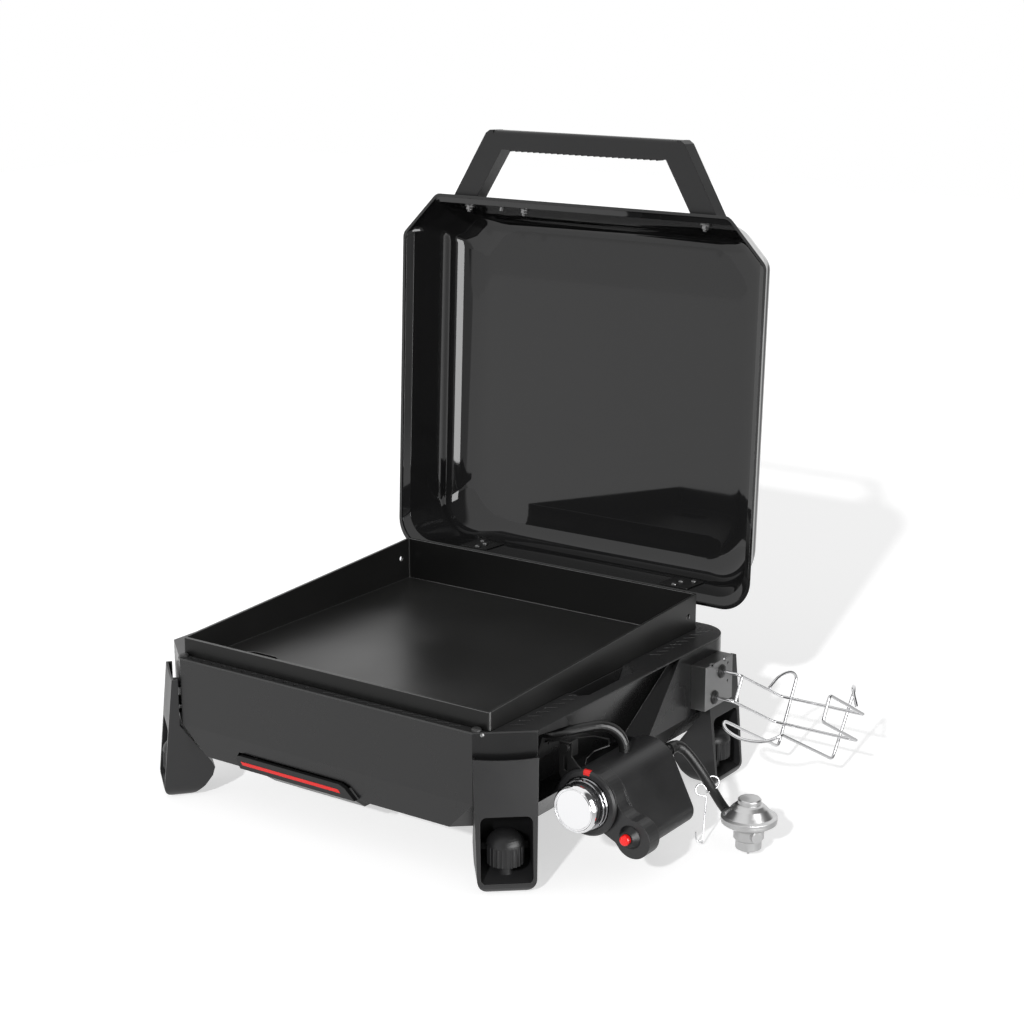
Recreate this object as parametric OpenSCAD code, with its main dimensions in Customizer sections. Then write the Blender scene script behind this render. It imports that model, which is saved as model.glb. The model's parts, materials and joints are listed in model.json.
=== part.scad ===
// Tabletop gas griddle with hinged lid, adjustable legs, grease tray,
// control pod with regulator, and a wire rack for a fuel bottle.
// Millimetres, +Z up, front towards -Y.
// Built round the middle of the body at ground level, then moved so that
// the origin lies under the middle of the object.

/* [Body] */
// What the deck adds to the pan's width on each side
side_margin = 43; // [38:0.5:60]
// Depth of the deck behind the pan
rear_margin = 20; // [14:0.5:34]
// Height of the deck's top face above the ground
deck_top = 175.5; // [165:0.5:190]
// Thickness of the deck plate
deck_t = 2; // [1.5:0.5:3]
// Sheet thickness of the tub
tub_t = 1.5; // [1:0.25:2]
// Height of the crease above which the walls stand upright
crease_z = 94; // [88:1:100]
// Height of the tub's lower edge
tub_bottom = 60; // [56:1:64]
// Inward run of the side walls below the crease
side_run = 24; // [10:1:30]
// Inward run of the front wall below the crease
front_run = 3; // [2:1:8]
// Length of the corner cut along the front
corner_x = 52.8; // [45:0.2:58]
// Length of the corner cut along the side
corner_y = 45; // [40:0.5:52]
// Radius of the rear corners
rear_r = 40; // [25:1:50]

/* [Cooking pan] */
// Outer width of the pan
pan_w = 440; // [420:1:452]
// Outer depth of the pan
pan_d = 426; // [400:1:430]
// Sheet thickness of the pan
pan_t = 3; // [2:0.5:4]
// Height of the cooking surface above the ground
floor_z = 165; // [162:0.5:168]
// Height of the pan's front wall above the cooking surface
front_wall = 31; // [22:1:36]
// Height of the pan's rear wall above the cooking surface
rear_wall = 53.4; // [44:0.2:58]
// Shift of the pan from the middle of the body
pan_x = 3.5; // [0:0.5:5]
// Gap between the pan and the deck's edge
pan_gap = 1; // [0.5:0.25:1.5]
// Distance of the pan's front face behind the deck's front edge
pan_set = 13.5; // [12:0.5:16]
// Length of the grease hole
drain_l = 56; // [40:1:60]
// Width of the grease hole
drain_w = 34; // [24:1:38]

/* [Lid] */
// Overhang of the lid's rim beside the deck
lid_side_lap = 6.4; // [4:0.2:10]
// Overhang of the lid's rim in front of the deck
lid_front_lap = 9.5; // [8:0.5:14]
// Overhang of the lid's rim behind the deck
lid_rear_lap = 7; // [6:0.5:9]
// Height of the lid from rim to top panel
lid_h = 92; // [84:1:100]
// Sheet thickness of the lid
lid_t = 1.5; // [1:0.25:2]
// Width of the flat hem round the rim
hem_w = 3.5; // [2.5:0.5:5]
// How far the lid stands open
lid_angle = 92.76; // [80:0.01:100]
// Depth of the closed rim below the deck's top face
lid_drop = 2; // [1:0.5:3]
// Reach of the handle in front of the lid
handle_reach = 84; // [60:1:95]
// Height of the handle's channel section
handle_h = 22; // [16:1:24]

/* [Hinges] */
// Distance of each hinge from the middle
hinge_x = 154; // [130:1:175]
// Width of a hinge leaf
hinge_w = 42; // [34:1:50]
// Diameter of the hinge pin
hinge_pin_d = 5; // [4:0.5:6]
// Outer diameter of the knuckles
knuckle_d = 10; // [9:0.5:12]
// Radial clearance of the pin in the turning knuckle
pin_clear = 0.05; // [0.03:0.01:0.1]
// End gap between neighbouring knuckles
knuckle_gap = 0.5; // [0.3:0.1:0.8]

/* [Legs] */
// Height of the legs
leg_h = 149; // [140:1:154]
// Width of a leg at its top
leg_w = 70; // [62:1:76]
// Stand-off of a leg's face from the wall at its top
leg_top_out = 10.5; // [9:0.5:14]
// Stand-off of a leg's face from the wall at the ground
leg_foot_out = 25.4; // [18:1:28]
// Wall thickness of the leg moulding
leg_t = 2.5; // [2:0.25:3]
// Width of the opening for the levelling wheel
pocket_w = 56; // [48:1:60]
// Height of the opening above the ground
pocket_z = 12; // [11:1:16]
// Height of the opening
pocket_h = 74; // [68:1:78]
// Diameter of the levelling wheel
wheel_d = 41; // [32:1:42]
// Height of the levelling wheel's ribbed rim
wheel_h = 21; // [16:1:22]
// Travel of a levelling foot
level_travel = 9; // [6:1:10]
// Diameter of a foot pad
foot_d = 20; // [16:1:22]

/* [Control pod] */
// Distance of the dial's axis from the body's side
dial_out = 43.5; // [41:0.5:53]
// Height of the dial's axis
dial_z = 95; // [88:0.5:100]
// Radius of the pod's round side
pod_r = 35; // [32:0.5:38]
// Position of the pod's front face
pod_y = 65; // [60:1:70]
// Length of the pod
pod_l = 122; // [100:1:136]
// Wall thickness of the pod
pod_t = 2.5; // [2:0.25:3]
// Radius of the knob's cap
knob_r = 26.5; // [24:0.5:28]
// Travel of the knob when it is pushed
knob_push = 3; // [2:0.5:3.5]
// Radius of the igniter button
button_r = 5.8; // [5:0.1:7]
// Travel of the igniter button
button_push = 4; // [3:0.5:5]

/* [Grease tray] */
// Middle of the tray measured from the middle of the body
tray_x = -39; // [-50:1:-30]
// Width of the tray's front bar
bar_w = 172; // [150:1:180]
// Height of the tray's front bar
bar_h = 15; // [12:1:16]
// Depth of the tray from front to back
tray_d = 240; // [200:1:280]
// How far the tray pulls out
tray_travel = 210; // [150:5:230]

/* [Bottle rack] */
// Diameter of the rack wire
wire_d = 4; // [3.5:0.25:5]
// Inner width of the trough for the bottle
trough_w = 112; // [104:1:120]
// Spacing of the two rack rails
rail_gap = 32; // [28:1:36]
// Tilt of the rack from the vertical
rack_tilt = 29.2; // [25:0.1:33]

/* [Regulator and hose] */
// Distance of the regulator's axis from the body's side
reg_out = 145.5; // [141:0.5:149]
// Distance of the regulator's axis behind the pan's front face
reg_y = 231; // [226:1:236]
// Diameter of the regulator's flange
reg_d = 62; // [56:1:64]
// Outer diameter of the hose
hose_d = 11; // [10:0.5:12]

/* [Hidden] */

$fn = 48;
// Sliver by which a cutter runs past the face that it opens
over = 1;
// Gap between pieces that pass each other
slip = 0.3;
// Radial clearance of a shaft in its bore
fit = 0.05;

deck_w = pan_w + 2 * side_margin;
deck_d = pan_set + pan_d + rear_margin;
deck_front = -pan_set;
deck_rear = deck_front + deck_d;
corner_a = atan2(corner_y, corner_x);
corner_mid = [deck_w / 2 - corner_x / 2, deck_front + corner_y / 2];
plate_z = deck_top - deck_t;
bottle_d = 99;

// Rounding of the leg's toe, and where its centre lies
toe_r = 14;
leg_lean = (leg_foot_out - leg_top_out) / leg_h;
toe_y = -leg_foot_out + toe_r * (leg_lean + sqrt(1 + leg_lean * leg_lean));

// Where the object's middle lies in the body's own frame
face_out = deck_w / 2 - toe_y + toe_r;
rack_x = deck_w / 2 + 19.5;
rack_reach = 141;
foot_taper = 3;
foot_corner_r = 18;
lid_front = deck_front - lid_front_lap;
lid_w = deck_w + 2 * lid_side_lap;
lid_d = deck_d + lid_front_lap + lid_rear_lap;
dial_x = deck_w / 2 + dial_out;
reg_x = deck_w / 2 + reg_out;
rim_z = deck_top - lid_drop;
hinge_y = deck_rear + 23.4;
hinge_z = rim_z - 1.3;
lid_crown = 56;
rest_front = corner_mid[1] + face_at(foot_corner_r) * cos(corner_a)
    - (leg_w / 2 - foot_taper) * sin(corner_a);
rest_rear = hinge_y + (rim_z + lid_h - hinge_z) * sin(lid_angle)
    - (hinge_y - lid_front - lid_crown) * cos(lid_angle);
mid_x = (rack_x + rack_reach + wire_d / 2 - face_out) / 2;
mid_y = (rest_front + rest_rear) / 2;

module seated() {
    translate([-mid_x, -mid_y, 0]) children();
}

module both_sides() {
    children();
    mirror([1, 0, 0]) children();
}

// Extrudes an outline drawn in the y-z plane along x
module along_x(len) {
    rotate([90, 0, 90]) linear_extrude(height = len, center = true) children();
}

// Extrudes an outline drawn in the x-z plane from y0 towards +y
module along_y(y0, len) {
    translate([0, y0 + len, 0]) rotate([90, 0, 0]) linear_extrude(height = len) children();
}

// Solid of revolution about an axis that runs along y, profile drawn as [radius, y]
module turned_y(x, z) {
    translate([x, 0, z]) rotate([-90, 0, 0]) rotate_extrude() children();
}

// Round bar between two points
module rod(a, b, r) {
    d = b - a;
    translate(a)
        rotate([0, atan2(norm([d[0], d[1]]), d[2]), atan2(d[1], d[0])])
            cylinder(r = r, h = norm(d));
}

// Slot with round ends
module obround(len, w) {
    square([len - w, w], center = true);
    for (s = [-1, 1]) translate([s * (len - w) / 2, 0]) circle(d = w);
}

module rounded_rect(size, r) {
    square([size[0] - 2 * r, size[1]], center = true);
    square([size[0], size[1] - 2 * r], center = true);
    for (sx = [-1, 1], sy = [-1, 1])
        translate([sx * (size[0] / 2 - r), sy * (size[1] / 2 - r)]) circle(r = r);
}

// Outline round two circles and the straight sides that touch both
module lobe_pair(c1, r1, c2, r2) {
    d = c2 - c1;
    dir = atan2(d[1], d[0]);
    open_a = acos((r1 - r2) / norm(d));
    big = 48;
    small = 20;
    polygon(concat(
        [for (i = [0:big]) let (a = dir + open_a + (360 - 2 * open_a) * i / big)
            c1 + r1 * [cos(a), sin(a)]],
        [for (i = [0:small]) let (a = dir - open_a + 2 * open_a * i / small)
            c2 + r2 * [cos(a), sin(a)]]));
}

// Swept tube: rounds the corners of a route, then skins rings along it
function unit(v) = v / norm(v);
function corner_arc(a, b, c, r, n) =
    let (u = unit(a - b), v = unit(c - b))
    let (half = acos(max(-1, min(1, u * v))) / 2)
    half > 89 ? [b] :
    let (t = r / tan(half), bis = unit(u + v), m = b + bis * r / sin(half))
    let (p = b + u * t, e1 = unit(p - m), turn = 180 - 2 * half)
    let (e2 = unit(cross(cross(e1, b + v * t - m), e1)))
    [for (i = [0:n]) m + r * (e1 * cos(turn * i / n) + e2 * sin(turn * i / n))];
function rounded_route(pts, r, n) = concat([pts[0]],
    [for (i = [1:len(pts) - 2]) each corner_arc(pts[i - 1], pts[i], pts[i + 1], r, n)],
    [pts[len(pts) - 1]]);
function heading(p, i) = unit(p[min(i + 1, len(p) - 1)] - p[max(i - 1, 0)]);
function ring_at(c, t, r, sides, ref) =
    let (u = unit(cross(t, ref)), v = cross(t, u))
    [for (k = [0:sides - 1]) c + r * (u * cos(360 * k / sides) + v * sin(360 * k / sides))];
module tube(p, r, sides = 8, ref = [0.31, 0.53, 0.79]) {
    n = len(p);
    pts = [for (i = [0:n - 1]) each ring_at(p[i], heading(p, i), r, sides, ref)];
    walls = [for (i = [0:n - 2], k = [0:sides - 1]) each
        let (a = i * sides + k, b = i * sides + (k + 1) % sides)
        [[a, b, b + sides], [a, b + sides, a + sides]]];
    caps = [[for (k = [sides - 1:-1:0]) k], [for (k = [0:sides - 1]) (n - 1) * sides + k]];
    polyhedron(points = pts, faces = concat(walls, caps), convexity = 6);
}

// Body

// Outline of the deck, drawn in by inset
module deck_outline(inset = 0) {
    difference() {
        union() {
            translate([inset - deck_w / 2, deck_front + inset])
                square([deck_w - 2 * inset, deck_d - rear_r - inset]);
            translate([rear_r - deck_w / 2, deck_front + inset])
                square([deck_w - 2 * rear_r, deck_d - 2 * inset]);
            for (s = [-1, 1])
                translate([s * (deck_w / 2 - rear_r), deck_rear - rear_r])
                    circle(r = rear_r - inset, $fn = 96);
        }
        for (s = [0, 1]) mirror([s, 0])
            translate(corner_mid) rotate(corner_a)
                translate([-corner_x, -corner_y * 2 + inset])
                    square([corner_x * 2, corner_y * 2]);
    }
}

// Wedge that trims the wall below the crease, for a wall at x = 0 facing +x
module slope_wedge(run, inset) {
    rise = crease_z - tub_bottom;
    shift = inset * sqrt(1 + pow(run / rise, 2));
    out = 8;
    rotate([90, 0, 0]) linear_extrude(height = deck_w + deck_d, center = true)
        polygon([
            [out, crease_z + (shift + out) * rise / run],
            [-shift - 2 * run, crease_z - 2 * rise],
            [out, crease_z - 2 * rise]]);
}

module tub_form(inset, bottom) {
    difference() {
        translate([0, 0, bottom])
            linear_extrude(height = plate_z - bottom) deck_outline(inset);
        both_sides() translate([deck_w / 2, 0, 0]) slope_wedge(side_run, inset);
        both_sides() translate(corner_mid) rotate(corner_a - 90)
            slope_wedge(side_run, inset);
        translate([0, deck_front, 0]) rotate(-90) slope_wedge(front_run, inset);
        translate([0, deck_rear, 0]) rotate(90) slope_wedge(front_run, inset);
    }
}

// Hollow in the right side wall behind the control pod
recess_top_in = 9.5;
recess_low_in = 32;
recess_rear = deck_rear - 124;
recess_low_rear = deck_rear - 194;
module side_recess(grow) {
    intersection() {
        along_y(deck_front + corner_y + 2 - grow, recess_rear)
            polygon([
                [deck_w / 2 - recess_low_in - grow, crease_z - grow],
                [deck_w / 2 - recess_top_in - grow, plate_z + over],
                [deck_w / 2 + over, plate_z + over],
                [deck_w / 2 + over, crease_z - grow]]);
        along_x(deck_w * 2)
            polygon([
                [0, crease_z - grow],
                [recess_low_rear + grow, crease_z - grow],
                [recess_rear + grow, plate_z + over],
                [0, plate_z + over]]);
    }
}

// Cut-out in the front wall for the tray's bar
module tray_cutout() {
    gap = 2;
    half = bar_w / 2 + gap;
    along_y(deck_front - over, 30)
        polygon([
            [tray_x - half + 6, tub_bottom - over],
            [tray_x - half, tub_bottom + bar_h - 2],
            [tray_x - half + 4, tub_bottom + bar_h + 3],
            [tray_x + half - 18, tub_bottom + bar_h + 3],
            [tray_x + half - 8, tub_bottom + bar_h],
            [tray_x + half + 6, tub_bottom - over]]);
}

pipe_in = [dial_x - 78, 59.5, 149.5];

module body_shell() color([0.16, 0.16, 0.17]) seated() {
    difference() {
        tub_form(0, tub_bottom);
        difference() {
            tub_form(tub_t, tub_bottom + tub_t);
            side_recess(tub_t);
        }
        side_recess(0);
        // opening over the tray, from the front wall backwards
        translate([tray_x, deck_front + tray_d / 2 + 10, tub_bottom])
            cube([bar_w - 12, tray_d + 22, 12], center = true);
        tray_cutout();
        // hole for the gas pipe in the side recess
        translate(pipe_in) rotate([0, 90 - pipe_slope, pipe_dir])
            cylinder(r = pipe_r + 1.5, h = 80, center = true);
        rod(wire_route[6], wire_route[8], 2.2);
        // air slots in the floor
        for (s = [-1, 1], i = [0:5])
            translate([150 * s + 20, 90 + i * 50, tub_bottom])
                linear_extrude(height = 3 * tub_t, center = true) obround(70, 10);
        // screw holes behind the legs
        at_legs() for (z = leg_boss_z)
            translate([0, 0, z]) rotate([90, 0, 0])
                cylinder(r = leg_screw_r + fit, h = 4 * tub_t, center = true, $fn = 24);
    }
}

// Deck

notch_y = 146;
notch_l = 112;
notch_w = 24;
slot_pitch = 15.8;

module deck_slots() {
    row_y = deck_front + 7;
    for (i = [0:12])
        translate([i * 15.7 - 211.5, row_y]) circle(d = 5.5, $fn = 24);
    for (i = [0:11])
        translate([8.5 + i * slot_pitch, row_y]) rotate(20) obround(14, 2.6, $fn = 16);
    for (i = [0:7]) {
        translate([pan_x + pan_w / 2 + 12.5, 30 + i * slot_pitch + 3]) rotate(42)
            obround(15, 2.6, $fn = 16);
        translate([pan_x + pan_w / 2 + 12.5, 309 + i * 15 + 3]) rotate(42)
            obround(15, 2.6, $fn = 16);
    }
}

module flange_ring(outer, inner) {
    difference() {
        intersection() {
            translate([pan_x, pan_d / 2]) square(outer, center = true);
            deck_outline(tub_t + slip);
        }
        translate([pan_x, pan_d / 2]) square(inner, center = true);
    }
}

module deck_frame() color([0.13, 0.13, 0.14]) seated() {
    hole_w = pan_w + 2 * pan_gap;
    hole_d = pan_d + 2 * pan_gap;
    ledge_z = floor_z - pan_t;
    ledge_t = 1.5;
    translate([0, 0, plate_z]) linear_extrude(height = deck_t) difference() {
        deck_outline();
        translate([pan_x, pan_d / 2]) square([hole_w, hole_d], center = true);
        deck_slots();
        translate([pan_x + hole_w / 2 - over, notch_y]) polygon([
            [0, 0], [notch_w - 8, 0], [notch_w, 8], [notch_w, notch_l - 14],
            [notch_w - 14, notch_l], [0, notch_l]]);
    }
    // flange and ledge that carry the pan
    translate([0, 0, ledge_z - ledge_t]) linear_extrude(height = ledge_t)
        flange_ring([hole_w + 2 * ledge_t, hole_d + 2 * ledge_t], [hole_w - 16, hole_d - 16]);
    translate([0, 0, ledge_z - over / 2]) linear_extrude(height = plate_z - ledge_z + over)
        flange_ring([hole_w + 2 * ledge_t, hole_d + 2 * ledge_t], [hole_w, hole_d]);
    // folded tab at the rear of the vent notch
    translate([pan_x + hole_w / 2 + notch_w / 2, notch_y + notch_l - 1.2, 0])
        along_x(notch_w - 4) polygon([
            [-10, plate_z - 14], [-8.4, plate_z - 14], [1.2, plate_z + over], [-0.6, plate_z + over]]);
    // flap under the deck's edge by the front right corner
    translate([deck_w / 2 - 0.75, 0, 0]) along_x(1.5) polygon([
        [deck_front + corner_y + 2, plate_z + over], [deck_front + corner_y + 2, plate_z - 4],
        [deck_front + corner_y + 62, plate_z - 11], [deck_front + corner_y + 52, plate_z + over]]);
}

// Pan

module griddle_plate() color([0.55, 0.55, 0.56]) seated() {
    base_z = floor_z - pan_t;
    side_hole = [pan_d - 20, floor_z + 29.5];
    difference() {
        translate([pan_x, 0, 0]) intersection() {
            translate([0, pan_d / 2, base_z]) linear_extrude(height = 80)
                rounded_rect([pan_w, pan_d], 3);
            along_x(pan_w + 2 * over) polygon([
                [0, base_z], [pan_d, base_z], [pan_d, floor_z + rear_wall],
                [0, floor_z + front_wall]]);
        }
        translate([pan_x, pan_d / 2, floor_z]) linear_extrude(height = 80)
            rounded_rect([pan_w - 2 * pan_t, pan_d - 2 * pan_t], 1.5);
        translate([pan_x, side_hole[0], side_hole[1]]) rotate([0, 90, 0])
            cylinder(d = 7, h = pan_w + 2 * over, center = true);
        translate([pan_x - 162, 60, base_z - over]) linear_extrude(height = pan_t + 2 * over)
            obround(drain_l, drain_w);
    }
}

// Burner

burner_z = 126;
burner_r = 11;
module burner_tube() color([0.5, 0.48, 0.45]) seated() {
    for (s = [-1, 1]) rod([110 * s, 95, burner_z], [110 * s, 340, burner_z], burner_r);
    rod([-110, 215, burner_z], [110, 215, burner_z], burner_r - 0.5);
    // inlet that takes the end of the gas pipe
    difference() {
        union() {
            rod(pipe_end + 10 * pipe_run, pipe_end - 24 * pipe_run, burner_r - 3);
            translate(pipe_end - 24 * pipe_run) sphere(r = burner_r - 1.5);
            rod(pipe_end - 24 * pipe_run, [110, 120, burner_z], burner_r - 4);
        }
        rod(pipe_end + 12 * pipe_run, pipe_end - 0.5 * pipe_run, pipe_r + fit);
    }
}

module burner_bracket() color([0.42, 0.42, 0.43]) seated() {
    strap_t = 2;
    reach = deck_w / 2 - tub_t;
    strap_z = burner_z - burner_r - strap_t;
    for (y = [150, 290]) {
        translate([-reach, y - 12, strap_z]) cube([reach + 215, 24, strap_t]);
        translate([-reach, y - 12, strap_z]) cube([strap_t, 24, 24]);
        translate([213, y - 12, strap_z]) cube([strap_t, 24, 24]);
    }
}

// Grease path

module grease_chute() color([0.45, 0.45, 0.46]) seated() {
    low_x = tray_x - 52;
    high_x = pan_x - 162 - drain_l / 2 - 4;
    top_z = floor_z - pan_t - 1.5;
    wall = 1.2;
    difference() {
        along_y(60 - drain_w / 2 - 6, drain_w + 12) polygon([
            [high_x, top_z], [high_x + 60, top_z], [low_x + 20, 78], [low_x - 6, 78],
            [high_x, top_z - 40]]);
        along_y(60 - drain_w / 2 - 6 + wall, drain_w + 12 - 2 * wall) polygon([
            [high_x + wall, top_z + over], [high_x + 60 - wall, top_z + over],
            [low_x + 20 - wall, 78 - over], [low_x - 6 + wall, 78 - over],
            [high_x + wall, top_z - 40 + wall]]);
    }
    // ears that hang the chute on the ledge under the pan
    for (y = [60 - drain_w / 2 - 6, 60 + drain_w / 2 + 6 - wall])
        translate([pan_x - pan_w / 2, y, top_z - 8]) cube([high_x + 10 - pan_x + pan_w / 2, wall, 8]);
}

rail_z = tub_bottom + 8;
rail_in = bar_w / 2 - 14;
module tray_rails() color([0.3, 0.3, 0.31]) seated() {
    for (s = [-1, 1]) translate([tray_x, 0, 0]) along_y(deck_front + 22, tray_d) scale_x(s)
        polygon([
            [rail_in + 8, tub_bottom + tub_t], [rail_in + 20, tub_bottom + tub_t],
            [rail_in + 20, tub_bottom + tub_t + 1.5], [rail_in + 9.5, tub_bottom + tub_t + 1.5],
            [rail_in + 9.5, rail_z + 4.5], [rail_in - 4, rail_z + 4.5],
            [rail_in - 4, rail_z + 3], [rail_in + 8, rail_z + 3]]);
    for (s = [-1, 1]) translate([tray_x, 0, 0]) along_y(deck_front + 22, tray_d) scale_x(s)
        polygon([
            [rail_in + 2, tub_bottom + tub_t], [rail_in + 8, tub_bottom + tub_t],
            [rail_in + 8, rail_z - 2], [rail_in + 2, rail_z - 2]]);
}

module scale_x(s) {
    mirror([s < 0 ? 1 : 0, 0]) children();
}

tray_floor = 34;
tray_side = rail_in - 0.5;
module grease_tray() color([0.62, 0.62, 0.63]) seated() translate([tray_x, 0, 0]) {
    y_bar = bar_y + 6;
    y_low = 28;
    y_end = deck_front + tray_d;
    top = rail_z;
    wall = 1.2;
    difference() {
        intersection() {
            along_x(2 * tray_side) polygon([
                [y_bar, top - 4], [y_bar + 4, top], [y_end, top], [y_end - 8, tray_floor],
                [y_low, tray_floor], [y_bar + 3, top - 7]]);
            along_y(y_bar, tray_d) polygon([
                [-tray_side, top], [tray_side, top], [tray_side - 4, tray_floor],
                [4 - tray_side, tray_floor]]);
        }
        intersection() {
            along_x(2 * tray_side) polygon([
                [y_bar + 12, top + over], [y_end - wall, top + over], [y_end - 8 - wall, tray_floor + wall],
                [y_low + wall, tray_floor + wall], [y_bar + 12, top - 7]]);
            along_y(y_bar, tray_d) polygon([
                [wall - tray_side, top + over], [tray_side - wall, top + over],
                [tray_side - 4 - wall, tray_floor + wall], [4 + wall - tray_side, tray_floor + wall]]);
        }
    }
    for (s = [-1, 1]) translate([0, y_bar + 24 + slip, 0])
        side_of(s) translate([tray_side - wall, 0, top - wall])
            cube([rail_in + 7 - tray_side + wall, tray_d - 24 - slip, wall]);
}

module side_of(s) {
    mirror([s < 0 ? 1 : 0, 0, 0]) children();
}

bar_y = deck_front - 3.5;
module tray_handle() color([0.2, 0.2, 0.21]) seated() {
    half = bar_w / 2;
    z0 = tub_bottom + 1;
    difference() {
        along_y(bar_y, 6) polygon([
            [tray_x - half + 7, z0], [tray_x - half, z0 + bar_h - 4],
            [tray_x - half + 5, z0 + bar_h], [tray_x + half - 18, z0 + bar_h],
            [tray_x + half - 10, z0 + bar_h - 3], [tray_x + half + 4, z0]]);
        stripe_form(0.2);
    }
}

module stripe_form(grow) {
    half = bar_w / 2 - 8;
    along_y(bar_y - over, 1 + over) polygon([
        [tray_x - half + 3 - grow, tub_bottom + 6 - grow], [tray_x - half - grow, tub_bottom + 9.5 + grow],
        [tray_x + half - 12 + grow, tub_bottom + 9.5 + grow], [tray_x + half - 8 + grow, tub_bottom + 6 - grow]]);
}

module tray_stripe() color([0.75, 0.08, 0.08]) seated() {
    intersection() {
        stripe_form(0.2);
        along_x_slab(bar_y - 0.2, 1.2);
    }
}

// Slab across the whole body between y0 and y0 + len
module along_x_slab(y0, len) {
    translate([-deck_w, y0, 0]) cube([2 * deck_w, len, deck_top]);
}

// Gas side

pipe_r = 6;
pipe_top = [dial_x, 133, dial_z + pod_r];
pipe_dir = atan2(pipe_top[1] - pipe_in[1], pipe_top[0] - pipe_in[0]);
pipe_slope = 8;
pipe_run = [cos(pipe_dir) * cos(pipe_slope), sin(pipe_dir) * cos(pipe_slope), sin(pipe_slope)];
pipe_end = pipe_in - 46 * pipe_run;
module gas_pipe() color([0.1, 0.1, 0.11]) seated() {
    bend = 28;
    run = norm([pipe_top[0] - pipe_in[0], pipe_top[1] - pipe_in[1]]);
    tube(rounded_route([
        pipe_top - [0, 0, 6], [pipe_top[0], pipe_top[1], pipe_in[2] + run * tan(pipe_slope)],
        pipe_end], bend, 8), pipe_r, 16);
}

bracket_t = 1.6;
// Distance of the recess wall's outer face inside the side wall at height z
function recess_wall(z) = blend(recess_low_in, recess_top_in, (z - crease_z) / (plate_z - crease_z));
function recess_x(z) = deck_w / 2 - recess_wall(z) + 0.1;
bracket_x = deck_w / 2 + 6;
bracket_w = 16;
bracket_top = 158;
bracket_screw = [bracket_x + bracket_w / 2, 150];
module valve_bracket() color([0.12, 0.12, 0.12]) seated() {
    t = bracket_t;
    plate_y = pod_y - t;
    foot_z = 138;
    right = dial_x + 4;
    edge = bracket_x + bracket_w;
    difference() {
        union() {
            along_y(plate_y, t) polygon([
                [bracket_x, bracket_top], [bracket_x, 118], [bracket_x + 12, 100],
                [bracket_x + 12, 86], [right, 86], [right, 122], [edge + 8, 132], [edge, 140],
                [edge, bracket_top]]);
            // flange along the top and the foot that lies on the body's wall
            along_y(plate_y - 5, 5 + t) polygon([
                [recess_x(foot_z), foot_z], [recess_x(foot_z) + t, foot_z],
                [recess_x(bracket_top - t) + t, bracket_top - t], [edge, bracket_top - t],
                [edge, bracket_top], [recess_x(bracket_top), bracket_top]]);
            // folded sides of the beam
            translate([bracket_x, plate_y, 120]) cube([t, 12, bracket_top - 120]);
            translate([edge - t, plate_y, 140]) cube([t, 12, bracket_top - 140]);
        }
        translate([bracket_screw[0], plate_y, bracket_screw[1]]) rotate([90, 0, 0])
            cylinder(r = 2.1, h = 8, center = true);
        translate([bracket_screw[0], plate_y, 131]) rotate([90, 0, 0])
            linear_extrude(height = 8, center = true) rotate(90) obround(16, 4);
        turned_y(dial_x, dial_z) polygon([[0, 40], [11, 40], [11, 80], [0, 80]]);
    }
}

module bracket_screws() color([0.1, 0.1, 0.1]) seated() {
    translate([bracket_screw[0], pod_y - bracket_t, bracket_screw[1]]) rotate([90, 0, 0]) {
        cylinder(r = 6, h = 1.6);
        translate([0, 0, 1.6]) cylinder(r = 4.8, h = 1.6);
        translate([0, 0, -6]) cylinder(r = 2, h = 7);
    }
}

lobe_c = [dial_x + 41, dial_z - 40];
lobe_r = 16;
button_c = [dial_x + 51, dial_z - 29];
shroud_r = 21.5;
shroud_c = [dial_x + 54, dial_z - 31];
shroud_l = 20;
plate_l = 7;

module pod_housing() color([0.3, 0.3, 0.31]) seated() {
    y0 = pod_y + shroud_l;
    l = pod_l - shroud_l;
    difference() {
        along_y(y0, l) lobe_pair([dial_x, dial_z], pod_r, lobe_c, lobe_r);
        along_y(y0 - over, l - pod_t + over)
            lobe_pair([dial_x, dial_z], pod_r - pod_t, lobe_c, lobe_r - pod_t);
        translate([pipe_top[0], pipe_top[1], dial_z + pod_r - 8]) cylinder(r = pipe_r + fit, h = 12);
        translate([hose_exit[0], pod_y + pod_l, hose_exit[2]]) rotate([90, 0, 0])
            cylinder(r = 6 + fit, h = 12, center = true);
    }
}

// Outline of two circles joined by hollow fillets of radius f
module fillet_pair(c1, r1, c2, r2, f) {
    d = norm(c2 - c1);
    dir = atan2(c2[1] - c1[1], c2[0] - c1[0]);
    al = acos((d * d + pow(r1 + f, 2) - pow(r2 + f, 2)) / (2 * d * (r1 + f)));
    be = 180 - acos((d * d + pow(r2 + f, 2) - pow(r1 + f, 2)) / (2 * d * (r2 + f)));
    low = c1 + (r1 + f) * [cos(dir - al), sin(dir - al)];
    high = c1 + (r1 + f) * [cos(dir + al), sin(dir + al)];
    big = 40;
    small = 24;
    bend = 8;
    polygon(concat(
        [for (i = [0:big]) let (a = dir + al + (360 - 2 * al) * i / big)
            c1 + r1 * [cos(a), sin(a)]],
        [for (i = [1:bend - 1]) let (a = dir - al + 180 - (be - al) * i / bend)
            low + f * [cos(a), sin(a)]],
        [for (i = [0:small]) let (a = dir - be + 2 * be * i / small)
            c2 + r2 * [cos(a), sin(a)]],
        [for (i = [1:bend - 1]) let (a = dir + be + 180 - (be - al) * i / bend)
            high + f * [cos(a), sin(a)]]));
}

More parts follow.
